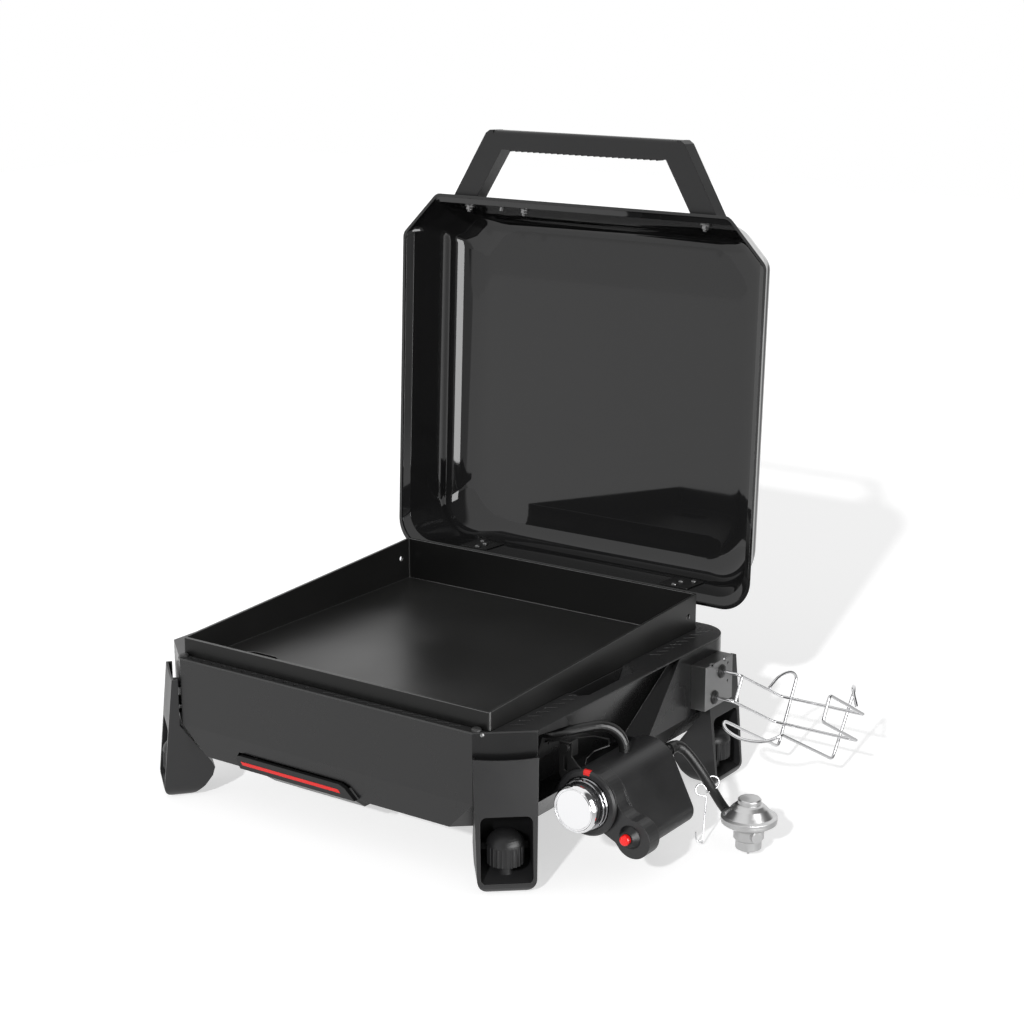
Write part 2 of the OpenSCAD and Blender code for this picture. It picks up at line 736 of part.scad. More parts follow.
neck_r = 24;
collar_r = 13;
sleeve_r = 7.5;
module pod_face() color([0.3, 0.3, 0.31]) seated() {
    dial_c = [dial_x, dial_z];
    difference() {
        along_y(pod_y, shroud_l) fillet_pair(dial_c, pod_r, shroud_c, shroud_r, neck_r);
        along_y(pod_y + plate_l, shroud_l)
            fillet_pair(dial_c, pod_r - pod_t, shroud_c, shroud_r - pod_t, neck_r + pod_t);
        turned_y(dial_x, dial_z) polygon([
            [0, pod_y - over], [8, pod_y - over], [8, pod_y + plate_l + over], [0, pod_y + plate_l + over]]);
        turned_y(button_c[0], button_c[1]) polygon([
            [0, pod_y - over], [collar_r + 0.6, pod_y - over], [collar_r - 3, pod_y + plate_l - 2],
            [sleeve_r + fit, pod_y + plate_l - 2], [sleeve_r + fit, pod_y + plate_l + over],
            [0, pod_y + plate_l + over]]);
    }
    // wall that closes the wider shroud against the narrower housing
    difference() {
        along_y(pod_y + shroud_l - 2, 2) {
            fillet_pair(dial_c, pod_r, shroud_c, shroud_r, neck_r);
            lobe_pair(dial_c, pod_r, lobe_c, lobe_r);
        }
        along_y(pod_y + shroud_l - 3, 4) lobe_pair(dial_c, pod_r - pod_t, lobe_c, lobe_r - pod_t);
    }
}

bezel_in = 29.6;
module pod_bezel() color([0.28, 0.28, 0.29]) seated() {
    difference() {
        turned_y(dial_x, dial_z) polygon([
            [bezel_in, pod_y - bracket_t], [pod_r + 1, pod_y - bracket_t], [pod_r + 2, pod_y - 3],
            [pod_r + 2, pod_y - 6], [pod_r, pod_y - 8], [bezel_in, pod_y - 8]]);
        pointer_form(0);
    }
}

module pointer_form(grow) {
    // red wedge let into the top of the bezel
    turned_band(dial_x, dial_z, 88 - 7, 14, [
        [bezel_in + 2, pod_y - 8 - over], [pod_r + 4, pod_y - 8 - over], [pod_r + 4, pod_y - 3],
        [pod_r + 1 - grow, pod_y - 3], [bezel_in + 3.4, pod_y - 7.2 + grow], [bezel_in + 2, pod_y - 7.2 + grow]]);
}

// Part of a ring about an axis along y, from angle a0 over span degrees
module turned_band(x, z, a0, span, profile) {
    translate([x, 0, z]) rotate([-90, 0, 0]) rotate([0, 0, -a0 - span])
        rotate_extrude(angle = span, $fn = 96) polygon(profile);
}

module pointer_mark() color([0.85, 0.1, 0.08]) seated() {
    turned_band(dial_x, dial_z, 88 - 6.6, 13.2, [
        [bezel_in + 2.2, pod_y - 8.2], [pod_r + 0.2, pod_y - 8.2], [pod_r + 2.2, pod_y - 6.1],
        [pod_r + 2.2, pod_y - 3.2], [pod_r + 1, pod_y - 3.2], [bezel_in + 3.4, pod_y - 7.2],
        [bezel_in + 2.2, pod_y - 7.2]]);
}

stem_r = 4;
knob_front = pod_y - 31;
module valve_body() color([0.7, 0.58, 0.3]) seated() {
    y0 = pod_y + plate_l;
    turned_y(dial_x, dial_z) polygon([
        [stem_r + fit, y0], [15, y0], [15, y0 + 4], [11, y0 + 4], [11, y0 + 56], [0, y0 + 56],
        [0, y0 + 22], [stem_r + fit, y0 + 22]]);
    // riser to the pipe
    translate([dial_x, pipe_top[1], dial_z]) {
        cylinder(r = pipe_r, h = pod_r - 6);
        rotate([90, 0, 0]) cylinder(r = 8, h = 10);
    }
}

module valve_stem() color([0.75, 0.7, 0.6]) seated() {
    turned_y(dial_x, dial_z) polygon([
        [0, knob_front + 14], [stem_r, knob_front + 14], [stem_r, pod_y + plate_l + 14],
        [0, pod_y + plate_l + 14]]);
}

grip_r = knob_r - 3;
ring_y = pod_y - 15;
module dial_ring() color([0.8, 0.8, 0.82]) seated() {
    ring_r = knob_r + 1.4;
    difference() {
        turned_y(dial_x, dial_z) polygon([
            [grip_r + 0.5, ring_y], [ring_r - 0.8, ring_y], [ring_r, ring_y + 0.8], [ring_r, ring_y + 5],
            [ring_r + 0.8, ring_y + 6], [ring_r + 0.8, ring_y + 8], [10, ring_y + 8],
            [10, pod_y - slip], [stem_r + fit, pod_y - slip], [stem_r + fit, ring_y + 6],
            [grip_r + 0.5, ring_y + 6]]);
        // index marks
        for (a = [88, 20, -35])
            turned_band(dial_x, dial_z, a - 3, 6, [
                [ring_r - 0.5, ring_y - over], [ring_r + 2, ring_y - over], [ring_r + 2, ring_y + 4],
                [ring_r - 0.5, ring_y + 4]]);
    }
}

module knob_grip() color([0.5, 0.5, 0.52]) seated() {
    y0 = knob_front + 9;
    difference() {
        turned_y(dial_x, dial_z) polygon([
            [0, y0], [grip_r, y0], [grip_r, ring_y + 6 - knob_push - slip],
            [stem_r, ring_y + 6 - knob_push - slip], [stem_r, y0 + 5], [0, y0 + 5]]);
        for (a = [0:15:345])
            translate([dial_x, 0, dial_z]) rotate([0, a, 0])
                translate([grip_r + 0.6, y0 + 3, 0]) rotate([-90, 0, 0]) cylinder(r = 1.3, h = 3, $fn = 16);
    }
}

module knob_cap() color([0.9, 0.9, 0.91]) seated() {
    turned_y(dial_x, dial_z) polygon([
        [0, knob_front], [knob_r - 6, knob_front + 0.4], [knob_r - 2, knob_front + 1.4],
        [knob_r - 0.6, knob_front + 2.6], [knob_r, knob_front + 4.4], [knob_r, knob_front + 7.6],
        [knob_r - 1, knob_front + 9], [0, knob_front + 9]]);
}

module igniter_button() color([0.85, 0.1, 0.08]) seated() {
    y0 = pod_y - 13;
    turned_y(button_c[0], button_c[1]) polygon([
        [0, y0], [button_r - 2, y0 + 0.3], [button_r - 0.6, y0 + 1], [button_r, y0 + 2.4],
        [button_r, y0 + 22], [0, y0 + 22]]);
}

module igniter_body() color([0.15, 0.15, 0.16]) seated() {
    y0 = pod_y + plate_l;
    bore = button_r + 2 * fit;
    front = pod_y - 7;
    turned_y(button_c[0], button_c[1]) polygon([
        [bore, front], [bore + 2, front], [collar_r - 0.3, pod_y - 0.2], [collar_r - 0.3, pod_y],
        [collar_r - 3.2, y0 - 2.2], [sleeve_r, y0 - 2.2], [sleeve_r, y0], [9, y0], [9, y0 + 3],
        [sleeve_r, y0 + 3], [sleeve_r, y0 + 10.6], [0, y0 + 10.6], [0, y0 + 7.4],
        [bore, y0 + 7.4]]);
}

wire_route = [[dial_x - 18, 84, 126], [dial_x - 18, 86, 132], [dial_x - 12, 92, 140],
    [dial_x - 2, 106, 144], [dial_x - 8, 115, 147], [dial_x - 24, 110, 149],
    [dial_x - 46, 93, 146.5], [dial_x - 66, 77, 142.5], [dial_x - 84, 62, 138.5]];
module igniter_wire() color([0.1, 0.1, 0.1]) seated() {
    tube(wire_route, 1, 6);
}

// Legs

leg_boss_z = [112, 134];
leg_screw_r = 2;
wheel_back = 20;
wheel_z = 29;
dome_h = 15.5;
stem_bore = 4 + fit;
leg_rear_y = deck_rear - 45;

// Leg frame: x along the wall, -y outwards from the wall, z up
module at_front_leg() {
    translate([corner_mid[0], corner_mid[1], 0]) rotate(corner_a) children();
}
module at_rear_leg() {
    translate([deck_w / 2, leg_rear_y, 0]) rotate(90) children();
}
module at_legs() {
    both_sides() at_front_leg() children();
    both_sides() at_rear_leg() children();
}
function face_at(z) = -leg_foot_out + leg_lean * z;
wheel_y = face_at(40) + wheel_back;

module leg_profile(inset) {
    // seen from the side: y from the face inwards, z up
    gap = 3.4;
    lean = side_run / (crease_z - tub_bottom);
    low = tub_bottom - 16;
    skin = inset * sqrt(1 + lean * lean);
    toe = inset > 0 ? [[face_at(pocket_z) + inset, pocket_z]] :
        [for (a = concat([180 - atan(leg_lean)], [for (b = [180:15:270]) b])) [toe_y, toe_r] + toe_r * [cos(a), sin(a)]];
    polygon(concat([[face_at(leg_h + over) + inset, leg_h + over]], toe, [
        inset > 0 ? [-4, pocket_z] : [4, 0], inset > 0 ? [10, pocket_z + 4] : [13, 4],
        [24 - inset, 14 + inset], [33 - inset, 26 + inset], [36 - inset, 36],
        [lean * (crease_z - low) - gap - skin, low], [-gap - inset, crease_z - 2],
        [-gap - inset, leg_h + over]]));
}

module leg_outline(inset) {
    low_r = foot_corner_r;
    half = leg_w / 2 - inset;
    foot = half - foot_taper;
    polygon([[-half, leg_h + (inset > 0 ? 2 * over : 0)], [-foot, low_r], [foot, low_r],
        [half, leg_h + (inset > 0 ? 2 * over : 0)]]);
    translate([low_r - foot, 0]) square([2 * (foot - low_r), low_r + 1]);
    for (s = [-1, 1]) translate([s * (foot - low_r), low_r]) circle(r = low_r);
}

module leg_solid(inset) {
    intersection() {
        along_x(leg_w + 2 * over) leg_profile(inset);
        along_y(-60, 120) leg_outline(inset);
    }
}

// Opening for the levelling wheel, cut from the face inwards to y1
module wheel_opening(grow, y1) {
    translate([0, -60, pocket_z + pocket_h / 2]) rotate([-90, 0, 0])
        linear_extrude(height = 60 + y1)
            rounded_rect([pocket_w + grow, pocket_h + grow], 7 + grow / 2);
}

module leg() {
    dish_r = 300;
    dish = 2;
    boss_r = 8;
    difference() {
        union() {
            difference() {
                leg_solid(0);
                leg_solid(leg_t);
                wheel_opening(0, face_at(pocket_z + pocket_h) + leg_t + over);
                // open back above the crease
                translate([leg_t - leg_w / 2, -6, crease_z - 8])
                    cube([leg_w - 2 * leg_t, 40, leg_h]);
            }
            // liner of the wheel's pocket
            intersection() {
                leg_solid(0.2);
                difference() {
                    wheel_opening(4, 40);
                    wheel_opening(0, 41);
                }
            }
            // pocket floor that rises to the rear, and the boss under the wheel
            intersection() {
                leg_solid(0.2);
                along_x(pocket_w + 2) polygon([
                    [-40, pocket_z - 4], [40, pocket_z - 4], [40, pocket_z + 20],
                    [face_at(pocket_z) + leg_t, pocket_z + 1], [-40, pocket_z + 1]]);
            }
            translate([0, wheel_y, pocket_z - 4])
                cylinder(r = boss_r, h = wheel_z - slip - pocket_z + 4);
            // bosses that stand on the body's wall
            for (z = leg_boss_z) translate([0, 0, z]) rotate([90, 0, 0])
                cylinder(r = 6, h = -face_at(z) - leg_t / 2);
        }
        // gently dished top edge
        translate([0, 0, leg_h + dish_r - dish]) rotate([90, 0, 0])
            cylinder(r = dish_r, h = 120, center = true, $fn = 256);
        // bore for the foot's stem
        translate([0, wheel_y, -over]) cylinder(r = stem_bore, h = wheel_z + over);
        // seat of the foot
        translate([0, wheel_y, -over]) cylinder(d = foot_d + 2, h = 7 + over);
        for (z = leg_boss_z) translate([0, over, z]) rotate([90, 0, 0])
            cylinder(r = leg_screw_r + fit, h = 8 + over, $fn = 24);
    }
}

module leg_front_left() color([0.25, 0.25, 0.26]) seated() mirror([1, 0, 0]) at_front_leg() leg();
module leg_front_right() color([0.25, 0.25, 0.26]) seated() at_front_leg() leg();
module leg_rear_left() color([0.25, 0.25, 0.26]) seated() mirror([1, 0, 0]) at_rear_leg() leg();
module leg_rear_right() color([0.25, 0.25, 0.26]) seated() at_rear_leg() leg();

module wheel() {
    r = wheel_d / 2;
    rib_r = 1.4;
    top = wheel_z + wheel_h;
    translate([0, wheel_y, 0]) difference() {
        union() {
            translate([0, 0, wheel_z]) cylinder(r = r - 0.8, h = wheel_h);
            for (a = [0:15:345]) rotate(a) translate([r - rib_r, 0, wheel_z])
                cylinder(r = rib_r, h = wheel_h, $fn = 16);
            rotate_extrude() polygon(concat(
                [[0, top], [r, top]],
                [for (a = [10:10:80]) [r * cos(a), top + dome_h * sin(a)]],
                [[0, top + dome_h]]));
        }
        translate([0, 0, wheel_z - over]) cylinder(r = stem_bore, h = wheel_h + 8 + over);
    }
}

module wheel_front_left() color([0.22, 0.22, 0.23]) seated() mirror([1, 0, 0]) at_front_leg() wheel();
module wheel_front_right() color([0.22, 0.22, 0.23]) seated() at_front_leg() wheel();
module wheel_rear_left() color([0.22, 0.22, 0.23]) seated() mirror([1, 0, 0]) at_rear_leg() wheel();
module wheel_rear_right() color([0.22, 0.22, 0.23]) seated() at_rear_leg() wheel();

module foot() {
    lift = 0.5;
    translate([0, wheel_y, lift]) {
        rotate_extrude() polygon([
            [0, 0], [foot_d / 2 - 1.5, 0], [foot_d / 2, 1.5], [foot_d / 2, 4], [6, 6], [4, 6],
            [4, wheel_z + wheel_h], [0, wheel_z + wheel_h]]);
    }
}

module foot_front_left() color([0.08, 0.08, 0.08]) seated() mirror([1, 0, 0]) at_front_leg() foot();
module foot_front_right() color([0.08, 0.08, 0.08]) seated() at_front_leg() foot();
module foot_rear_left() color([0.08, 0.08, 0.08]) seated() mirror([1, 0, 0]) at_rear_leg() foot();
module foot_rear_right() color([0.08, 0.08, 0.08]) seated() at_rear_leg() foot();

module leg_screws() color([0.6, 0.6, 0.62]) seated() {
    at_legs() for (z = leg_boss_z) translate([0, tub_t, z]) rotate([90, 0, 0]) {
        translate([0, 0, -2.4]) cylinder(r = 4, h = 2.4, $fn = 24);
        cylinder(r = leg_screw_r, h = tub_t + 7, $fn = 24);
    }
}

// Lid

lid_cut_x = 54.6;
lid_cut_y = 53.3;
lid_cut_a = atan2(lid_cut_x, lid_cut_y);
wall_drop = 0.285;

// Section of the lid's walls: height above the rim, side, front and rear
// insets, radius of the front and of the rear corners, inset of the cut corners
lid_rings = [
    [0, 0, 0, 0, 14, 40, 0], [2.5, 2.2, 2.2, 2.2, 14, 40, 0.6],
    [7, 11, 7 * wall_drop + 7.6, 11, 14, 38, 2.5],
    [28, 18.6, 28 * wall_drop + 7.6, 11, 15, 44, 8.4], [52, 27, 52 * wall_drop + 7.6, 11, 16, 50, 18],
    [62, 29, 25.5, 11.2, 18, 52, 23], [71, 33, 29, 12.5, 20, 54, 28], [79, 39, 33, 15.5, 24, 56, 34],
    [85.5, 47, 39, 20, 28, 60, 42], [90, 57, 46, 26, 32, 64, 51],
    [lid_h, 68, lid_crown, 34, 36, 68, 62]];

function side_line(a, p, b, q) =
    [(p * sin(b) - q * sin(a)) / sin(b - a), (q * cos(a) - p * cos(b)) / sin(b - a)];
function lid_corner(a, p, b, q, r, n) =
    let (v = side_line(a, p, b, q), na = [cos(a), sin(a)], nb = [cos(b), sin(b)])
    let (c = v - r * (na + nb) / (1 + na * nb))
    [for (i = [0:n]) let (t = a + (b - a) * i / n) c + r * [cos(t), sin(t)]];

// Lid outline at one height: x to the right, y towards the lid's front
function lid_ring(side, front, rear, cut_r, rear_cr, cut_in) =
    let (w = lid_w / 2, d = lid_d / 2, ca = lid_cut_a)
    let (cut = (w - lid_cut_x / 2) * cos(90 - ca) + (d - lid_cut_y / 2) * sin(90 - ca) - cut_in)
    concat(
        lid_corner(0, w - side, 90 - ca, cut, cut_r, 4),
        lid_corner(90 - ca, cut, 90, d - front, cut_r, 4),
        lid_corner(90, d - front, 90 + ca, cut, cut_r, 4),
        lid_corner(90 + ca, cut, 180, w - side, cut_r, 4),
        lid_corner(180, w - side, 270, d - rear, rear_cr, 9),
        lid_corner(270, d - rear, 360, w - side, rear_cr, 9));

function ring_points(row, inset, drop) = [for (p =
    lid_ring(row[1] + inset, row[2] + inset, row[3] + inset, row[4], row[5], row[6] + inset))
    [p[0], -p[1], row[0] - drop]];

module lid_form() {
    outer = [for (row = lid_rings) ring_points(row, 0, 0)];
    hem = ring_points(lid_rings[0], hem_w, 0);
    last = len(lid_rings) - 1;
    inner = [for (i = [1:last]) ring_points(lid_rings[i], lid_t * (i < 5 ? 1.05 : 1.05 - (i - 4) * 0.13),
        i < 5 ? 0 : lid_t * min(1, (i - 4) / 4))];
    rows = concat([hem], outer, [for (i = [last - 1:-1:0]) inner[i]]);
    n = len(hem);
    m = len(rows);
    walls = [for (i = [0:m - 1], k = [0:n - 1])
        let (j = (i + 1) % m, a = i * n + k, b = i * n + (k + 1) % n, c = j * n + (k + 1) % n, d = j * n + k)
        if (i != last + 1) each [[a, b, c], [a, c, d]]];
    caps = [[for (k = [0:n - 1]) (last + 1) * n + k], [for (k = [n - 1:-1:0]) (last + 2) * n + k]];
    polyhedron(points = [for (r = rows) each r], faces = concat(walls, caps), convexity = 8);
}

// Places what is drawn in the closed lid's frame where the lid stands open
module opened() {
    translate([0, hinge_y, hinge_z]) rotate([-lid_angle, 0, 0]) translate([0, -hinge_y, -hinge_z])
        children();
}

module lid_shell() color([0.1, 0.1, 0.11]) seated() opened()
    translate([0, lid_front + lid_d / 2, rim_z]) lid_form();

front_top = 7 * wall_drop + 7.6;
// Outer face of the front wall at height h above the rim
function front_face(h) = lid_front + h * wall_drop + 7.6;

grip_d = 24;
foot_half = 36;
module handle_plan() {
    // seen from above with the lid closed
    y1 = lid_front + 8;
    y0 = lid_front - handle_reach;
    difference() {
        polygon([[-198, y1 + 12], [-198, y1], [-146, y0 + 4], [-140, y0], [140, y0], [146, y0 + 4],
            [198, y1], [198, y1 + 12]]);
        polygon([[-162, y1 + 13], [-162, y1], [-121, y0 + grip_d], [121, y0 + grip_d], [162, y1],
            [162, y1 + 13]]);
    }
}

rib_pitch = 9;
rib_reach = 12 * rib_pitch;
module lid_handle() color([0.12, 0.12, 0.12]) seated() opened() {
    low = 9;
    y0 = lid_front - handle_reach;
    wall = 4;
    difference() {
        translate([0, 0, rim_z + low]) linear_extrude(height = handle_h) handle_plan();
        // foot cut to the lid's sloping front wall
        along_x(lid_w) polygon([
            [front_face(0), rim_z], [front_face(60), rim_z + 60], [front_face(60) + 60, rim_z + 60],
            [front_face(60) + 60, rim_z]]);
        // rounded grip edges
        grip_round();
        // channels in the two arms
        both_sides() translate([0, 0, rim_z + low + wall]) linear_extrude(height = handle_h)
            polygon([
                [194 - 0.5, lid_front + 4], [167, lid_front + 4],
                [127, y0 + grip_d], [148, y0 + grip_d - 8]]);
    }
    // finger ribs along the inner edge of the grip
    for (x = [-rib_reach:rib_pitch:rib_reach])
        translate([x, y0 + grip_d, rim_z + low + 0.5])
            cylinder(r = 1.8, h = handle_h - 8, $fn = 16);
}

module grip_round() {
    r = 6;
    y0 = lid_front - handle_reach;
    low = rim_z + 9;
    for (z = [low, low + handle_h])
        along_x(270) difference() {
            translate([y0 - over, z == low ? z - over : z - r]) square([r + over, r + over]);
            translate([y0 + r, z == low ? z + r : z - r]) circle(r = r);
        }
}

// Stands on the inner face of the lid's front wall, with +z into the lid
module on_front_wall(x, h) {
    a = atan(wall_drop);
    translate([x, front_face(h) + lid_t * 1.05, rim_z + h]) rotate([-90 - a, 0, 0]) children();
}

module handle_nuts() color([0.8, 0.8, 0.82]) seated() opened() {
    for (x = [-175, 175]) on_front_wall(x, 18) {
        cylinder(r = 7, h = 1.4);
        translate([0, 0, 1.4]) cylinder(r = 4.6, h = 4, $fn = 6);
        translate([0, 0, 5.4]) cylinder(r = 2.4, h = 2.5);
    }
}

module lid_studs() color([0.75, 0.75, 0.77]) seated() opened() {
    on_front_wall(-120, 12) cylinder(r = 3, h = 5);
    on_front_wall(-88, 16) {
        cylinder(r = 5.5, h = 1.2);
        translate([0, 0, 1.2]) cylinder(r = 4.4, h = 3.6, $fn = 6);
        translate([0, 0, 4.8]) cylinder(r = 2.4, h = 3);
    }
}

// Hinges

leaf_t = 2;
barrel_r = knuckle_d / 2;
barrel_l = (hinge_w - 2 * knuckle_gap) / 4;
rear_face = lid_front + lid_d - 11;

module knuckle_bore(r) {
    translate([0, hinge_y, hinge_z]) rotate([0, 90, 0]) cylinder(r = r, h = hinge_w + 2, center = true);
}

module hinge_base_leaves() color([0.14, 0.14, 0.15]) seated() both_sides()
    translate([hinge_x, 0, 0]) difference() {
        union() {
            for (s = [-1, 1]) translate([s * (hinge_w / 2 - barrel_l / 2), 0, 0]) {
                translate([0, hinge_y, hinge_z]) rotate([0, 90, 0])
                    cylinder(r = barrel_r, h = barrel_l, center = true);
                along_x(barrel_l) polygon([
                    [deck_rear, 118], [deck_rear + leaf_t, 118], [deck_rear + leaf_t, 142],
                    [hinge_y + barrel_r - 0.3, hinge_z], [hinge_y - 2, hinge_z],
                    [deck_rear, 146]]);
            }
            along_x(hinge_w) polygon([
                [deck_rear, 100], [deck_rear + leaf_t, 100], [deck_rear + leaf_t, 142],
                [deck_rear, 144]]);
        }
        knuckle_bore(hinge_pin_d / 2);
    }

module hinge_lid_leaves() color([0.14, 0.14, 0.15]) seated() opened() both_sides()
    translate([hinge_x, 0, 0]) difference() {
        union() {
            translate([0, hinge_y, hinge_z]) rotate([0, 90, 0])
                cylinder(r = barrel_r, h = 2 * barrel_l, center = true);
            along_x(2 * barrel_l) polygon([
                [rear_face, rim_z + 11], [rear_face, rim_z + 15], [rear_face + leaf_t + 1, rim_z + 15],
                [hinge_y + 1, hinge_z + barrel_r - 0.2], [hinge_y - barrel_r + 0.3, hinge_z + 1],
                [rear_face + 12, rim_z + 5]]);
            along_x(hinge_w - 2) polygon([
                [rear_face, rim_z + 12], [rear_face + leaf_t, rim_z + 12],
                [rear_face + leaf_t, rim_z + 46], [rear_face, rim_z + 46]]);
        }
        knuckle_bore(hinge_pin_d / 2 + pin_clear);
    }

module hinge_pins() color([0.7, 0.7, 0.72]) seated() both_sides()
    translate([hinge_x, hinge_y, hinge_z]) rotate([0, 90, 0]) {
        cylinder(r = hinge_pin_d / 2, h = hinge_w, center = true);
        translate([0, 0, hinge_w / 2]) cylinder(r = hinge_pin_d / 2 + 1.2, h = 1.5);
    }

plate_in = rear_face - lid_t * 1.05 - 0.02;
module hinge_plates() color([0.09, 0.09, 0.1]) seated() opened() both_sides()
    translate([hinge_x, plate_in - 1.2, rim_z + 34]) rotate([-90, 0, 0])
        linear_extrude(height = 1.2) rounded_rect([hinge_w, 44], 4);

module hinge_rivets() color([0.85, 0.85, 0.87]) seated() opened() both_sides() {
    for (p = [[0, 20], [0, 37], [12, 48]])
        translate([hinge_x - 2 + p[0], plate_in - 1.2, rim_z + p[1]]) rotate([90, 0, 0])
            rotate_extrude() polygon([
                [0, 0], [4.2, 0], [3.9, 1.2], [2.8, 2.1], [0, 2.5]]);
}

module lid_bumpers() color([0.6, 0.6, 0.6]) seated() both_sides()
    translate([210.5, deck_front + 8, deck_top]) rotate_extrude() polygon([
        [0, 0], [5.5, 0], [5.5, 1.8], [4.6, 2.8], [3, 3.2], [0, 3.2]]);

module deck_rivets() color([0.8, 0.8, 0.82]) seated() both_sides() at_front_leg()
    translate([-24, 0, deck_top - 3]) rotate([90, 0, 0]) rotate_extrude() polygon([
        [0, 0], [2.4, 0], [2.1, 0.9], [0, 1.4]]);

// Bottle rack

cover_y0 = deck_rear - 98;
cover_y1 = deck_rear - 35;
cover_z0 = 104;
cover_z1 = 158;
cover_t = 1.2;
rack_o = [rack_x, deck_rear - 60.6, 143.6];
grommet_b = rack_o + rail_gap * [0, -sin(rack_tilt), -cos(rack_tilt)];

module rack_bracket() color([0.7, 0.7, 0.71]) seated() {
    wall_x = deck_w / 2;
    difference() {
        union() {
            translate([rack_x - cover_t, cover_y0, cover_z0])
                cube([cover_t, cover_y1 - cover_y0, cover_z1 - cover_z0]);
            translate([wall_x, cover_y0, cover_z0])
                cube([rack_x - wall_x, cover_t, cover_z1 - cover_z0]);
            translate([wall_x, cover_y0, cover_z1 - cover_t])
                cube([rack_x - wall_x, cover_y1 - cover_y0, cover_t]);
        }
        for (p = [rack_o, grommet_b]) translate([rack_x, p[1], p[2]]) rotate([0, 90, 0])
            cylinder(r = 6, h = 10, center = true);
        for (y = [cover_y0 + 16, cover_y0 + 44]) translate([rack_x, y, cover_z1])
            rotate([0, 45, 0]) cube([5, 6, 5], center = true);
        for (z = [150, 128]) translate([rack_x, cover_y1 - 11, z]) rotate([0, 90, 0])
            cylinder(r = 1.8, h = 10, center = true, $fn = 24);
    }
}

module rack_grommets() color([0.06, 0.06, 0.06]) seated()
    for (p = [rack_o, grommet_b]) translate([rack_x, p[1], p[2]]) rotate([0, 90, 0])
        rotate_extrude() polygon([
            [wire_d / 2 + fit, -cover_t - 2.4], [7.6, -cover_t - 2.4], [8, -cover_t], [6, -cover_t],
            [6, 0], [8.6, 0], [7.6, 2], [4, 3.2], [wire_d / 2 + fit, 3.2]]);

// Rack frame: a along +x from the cover, b up the slope, c down the bottle's axis
function rack_pt(a, b, c) = rack_o
    + [a, b * cos(rack_tilt) - c * sin(rack_tilt), -b * sin(rack_tilt) - c * cos(rack_tilt)];

module rack_frame() color([0.85, 0.85, 0.86]) seated() {
    w = trough_w;
    plug = 4;
    tube(rounded_route([
        rack_pt(-plug, 0, 0), rack_pt(25, 0, 0), rack_pt(28, w, 0), rack_pt(139.5, w, 0),
        rack_pt(rack_reach, 2.5, 0), rack_pt(rack_reach, 2.5, rail_gap), rack_pt(139.5, w, rail_gap),
        rack_pt(28, w, rail_gap), rack_pt(25, 0, rail_gap), rack_pt(-plug, 0, rail_gap)], 5, 4),
        wire_d / 2);
    tube([rack_pt(25, 6, 0), rack_pt(25, 6, rail_gap)], wire_d / 2 - 0.2);
}

module rack_hoop() color([0.85, 0.85, 0.86]) seated() {
    w = trough_w;
    d = wire_d;
    tube(rounded_route([
        rack_pt(28, 76, -d), rack_pt(38, 100, -d - 6), rack_pt(40, w + 5, -d - 4), rack_pt(40, w + 5, 60),
        rack_pt(40, -22, 60), rack_pt(36, -34, 62), rack_pt(52, -36, 74), rack_pt(96, -36, 74),
        rack_pt(112, -34, 62), rack_pt(112, -22, 60), rack_pt(113, w + 5, 61), rack_pt(117, w + 5, -d - 4),
        rack_pt(128, 104, -d - 6), rack_pt(139.8, 84, -d)], 5, 3), d / 2);
}

// Hose and regulator

hose_exit = [dial_x + 14, pod_y + pod_l, dial_z + 17];
hose_points = [[320.5, 203, 112], [320.5, 208, 112], [320.5, 213, 112], [323, 219, 111.5],
    [328, 224, 107], [334, 228, 99], [340, 232, 89], [346, 236, 78], [351, 240, 67],
    [356, 245, 55], [361, 250, 43], [366, 254.5, 33], [371, 256.5, 27], [376, 254, 25],
    [381, 250.5, 25], [386, 247, 25]];
hose_end = hose_points[len(hose_points) - 1];
port_dir = unit(hose_points[len(hose_points) - 2] - hose_end);

function blend(a, b, t) = a + (b - a) * t;
function curve_at(p, i, t) =
    let (a = p[max(i - 1, 0)], b = p[i], c = p[i + 1], d = p[min(i + 2, len(p) - 1)])
    0.5 * (2 * b + (c - a) * t + (2 * a - 5 * b + 4 * c - d) * t * t
        + (3 * b - a - 3 * c + d) * t * t * t);
hose_line = [for (i = [0:len(hose_points) - 2], t = [0, 0.5]) curve_at(hose_points, i, t),
    hose_points[len(hose_points) - 1]];

module hose_fitting() color([0.75, 0.75, 0.77]) seated() {
    y0 = hose_exit[1];
    translate([hose_exit[0], y0 - 6, hose_exit[2]]) rotate([-90, 0, 0]) cylinder(r = 6, h = 7);
    translate([hose_exit[0], y0, hose_exit[2]]) rotate([-90, 0, 0]) {
        cylinder(r = 10, h = 7, $fn = 6);
        cylinder(r = 7.4, h = 11);
        cylinder(r = hose_d / 2 + 0.8, h = hose_points[0][1] - y0);
    }
}

module gas_hose() color([0.07, 0.07, 0.07]) seated() {
    tube(hose_line, hose_d / 2, 12, [0.2, 0, 1]);
}

clip_at = 9;
module hose_clip() color([0.8, 0.8, 0.8]) seated() {
    c = hose_points[clip_at];
    t = unit(hose_points[clip_at + 1] - hose_points[clip_at - 1]);
    u = unit(cross(t, [0, 0, 1]));
    v = cross(t, u);
    r = hose_d / 2 + 1.3;
    loop = [for (a = [-150:30:150]) c + r * (u * cos(a) + v * sin(a))];
    tail = [for (p = [[-2, 0], [-6, -14], [-9, -32], [-12, -38], [-15, -34], [-14, -26]])
        c - r * u + [p[0], 0, p[1] - 4]];
    tube(loop, 0.9, 6, [0.6, 0.6, 0.5]);
    tube(concat([c - r * u + [1, 0, 3]], tail), 0.9, 6, [0, 1, 0.1]);
}

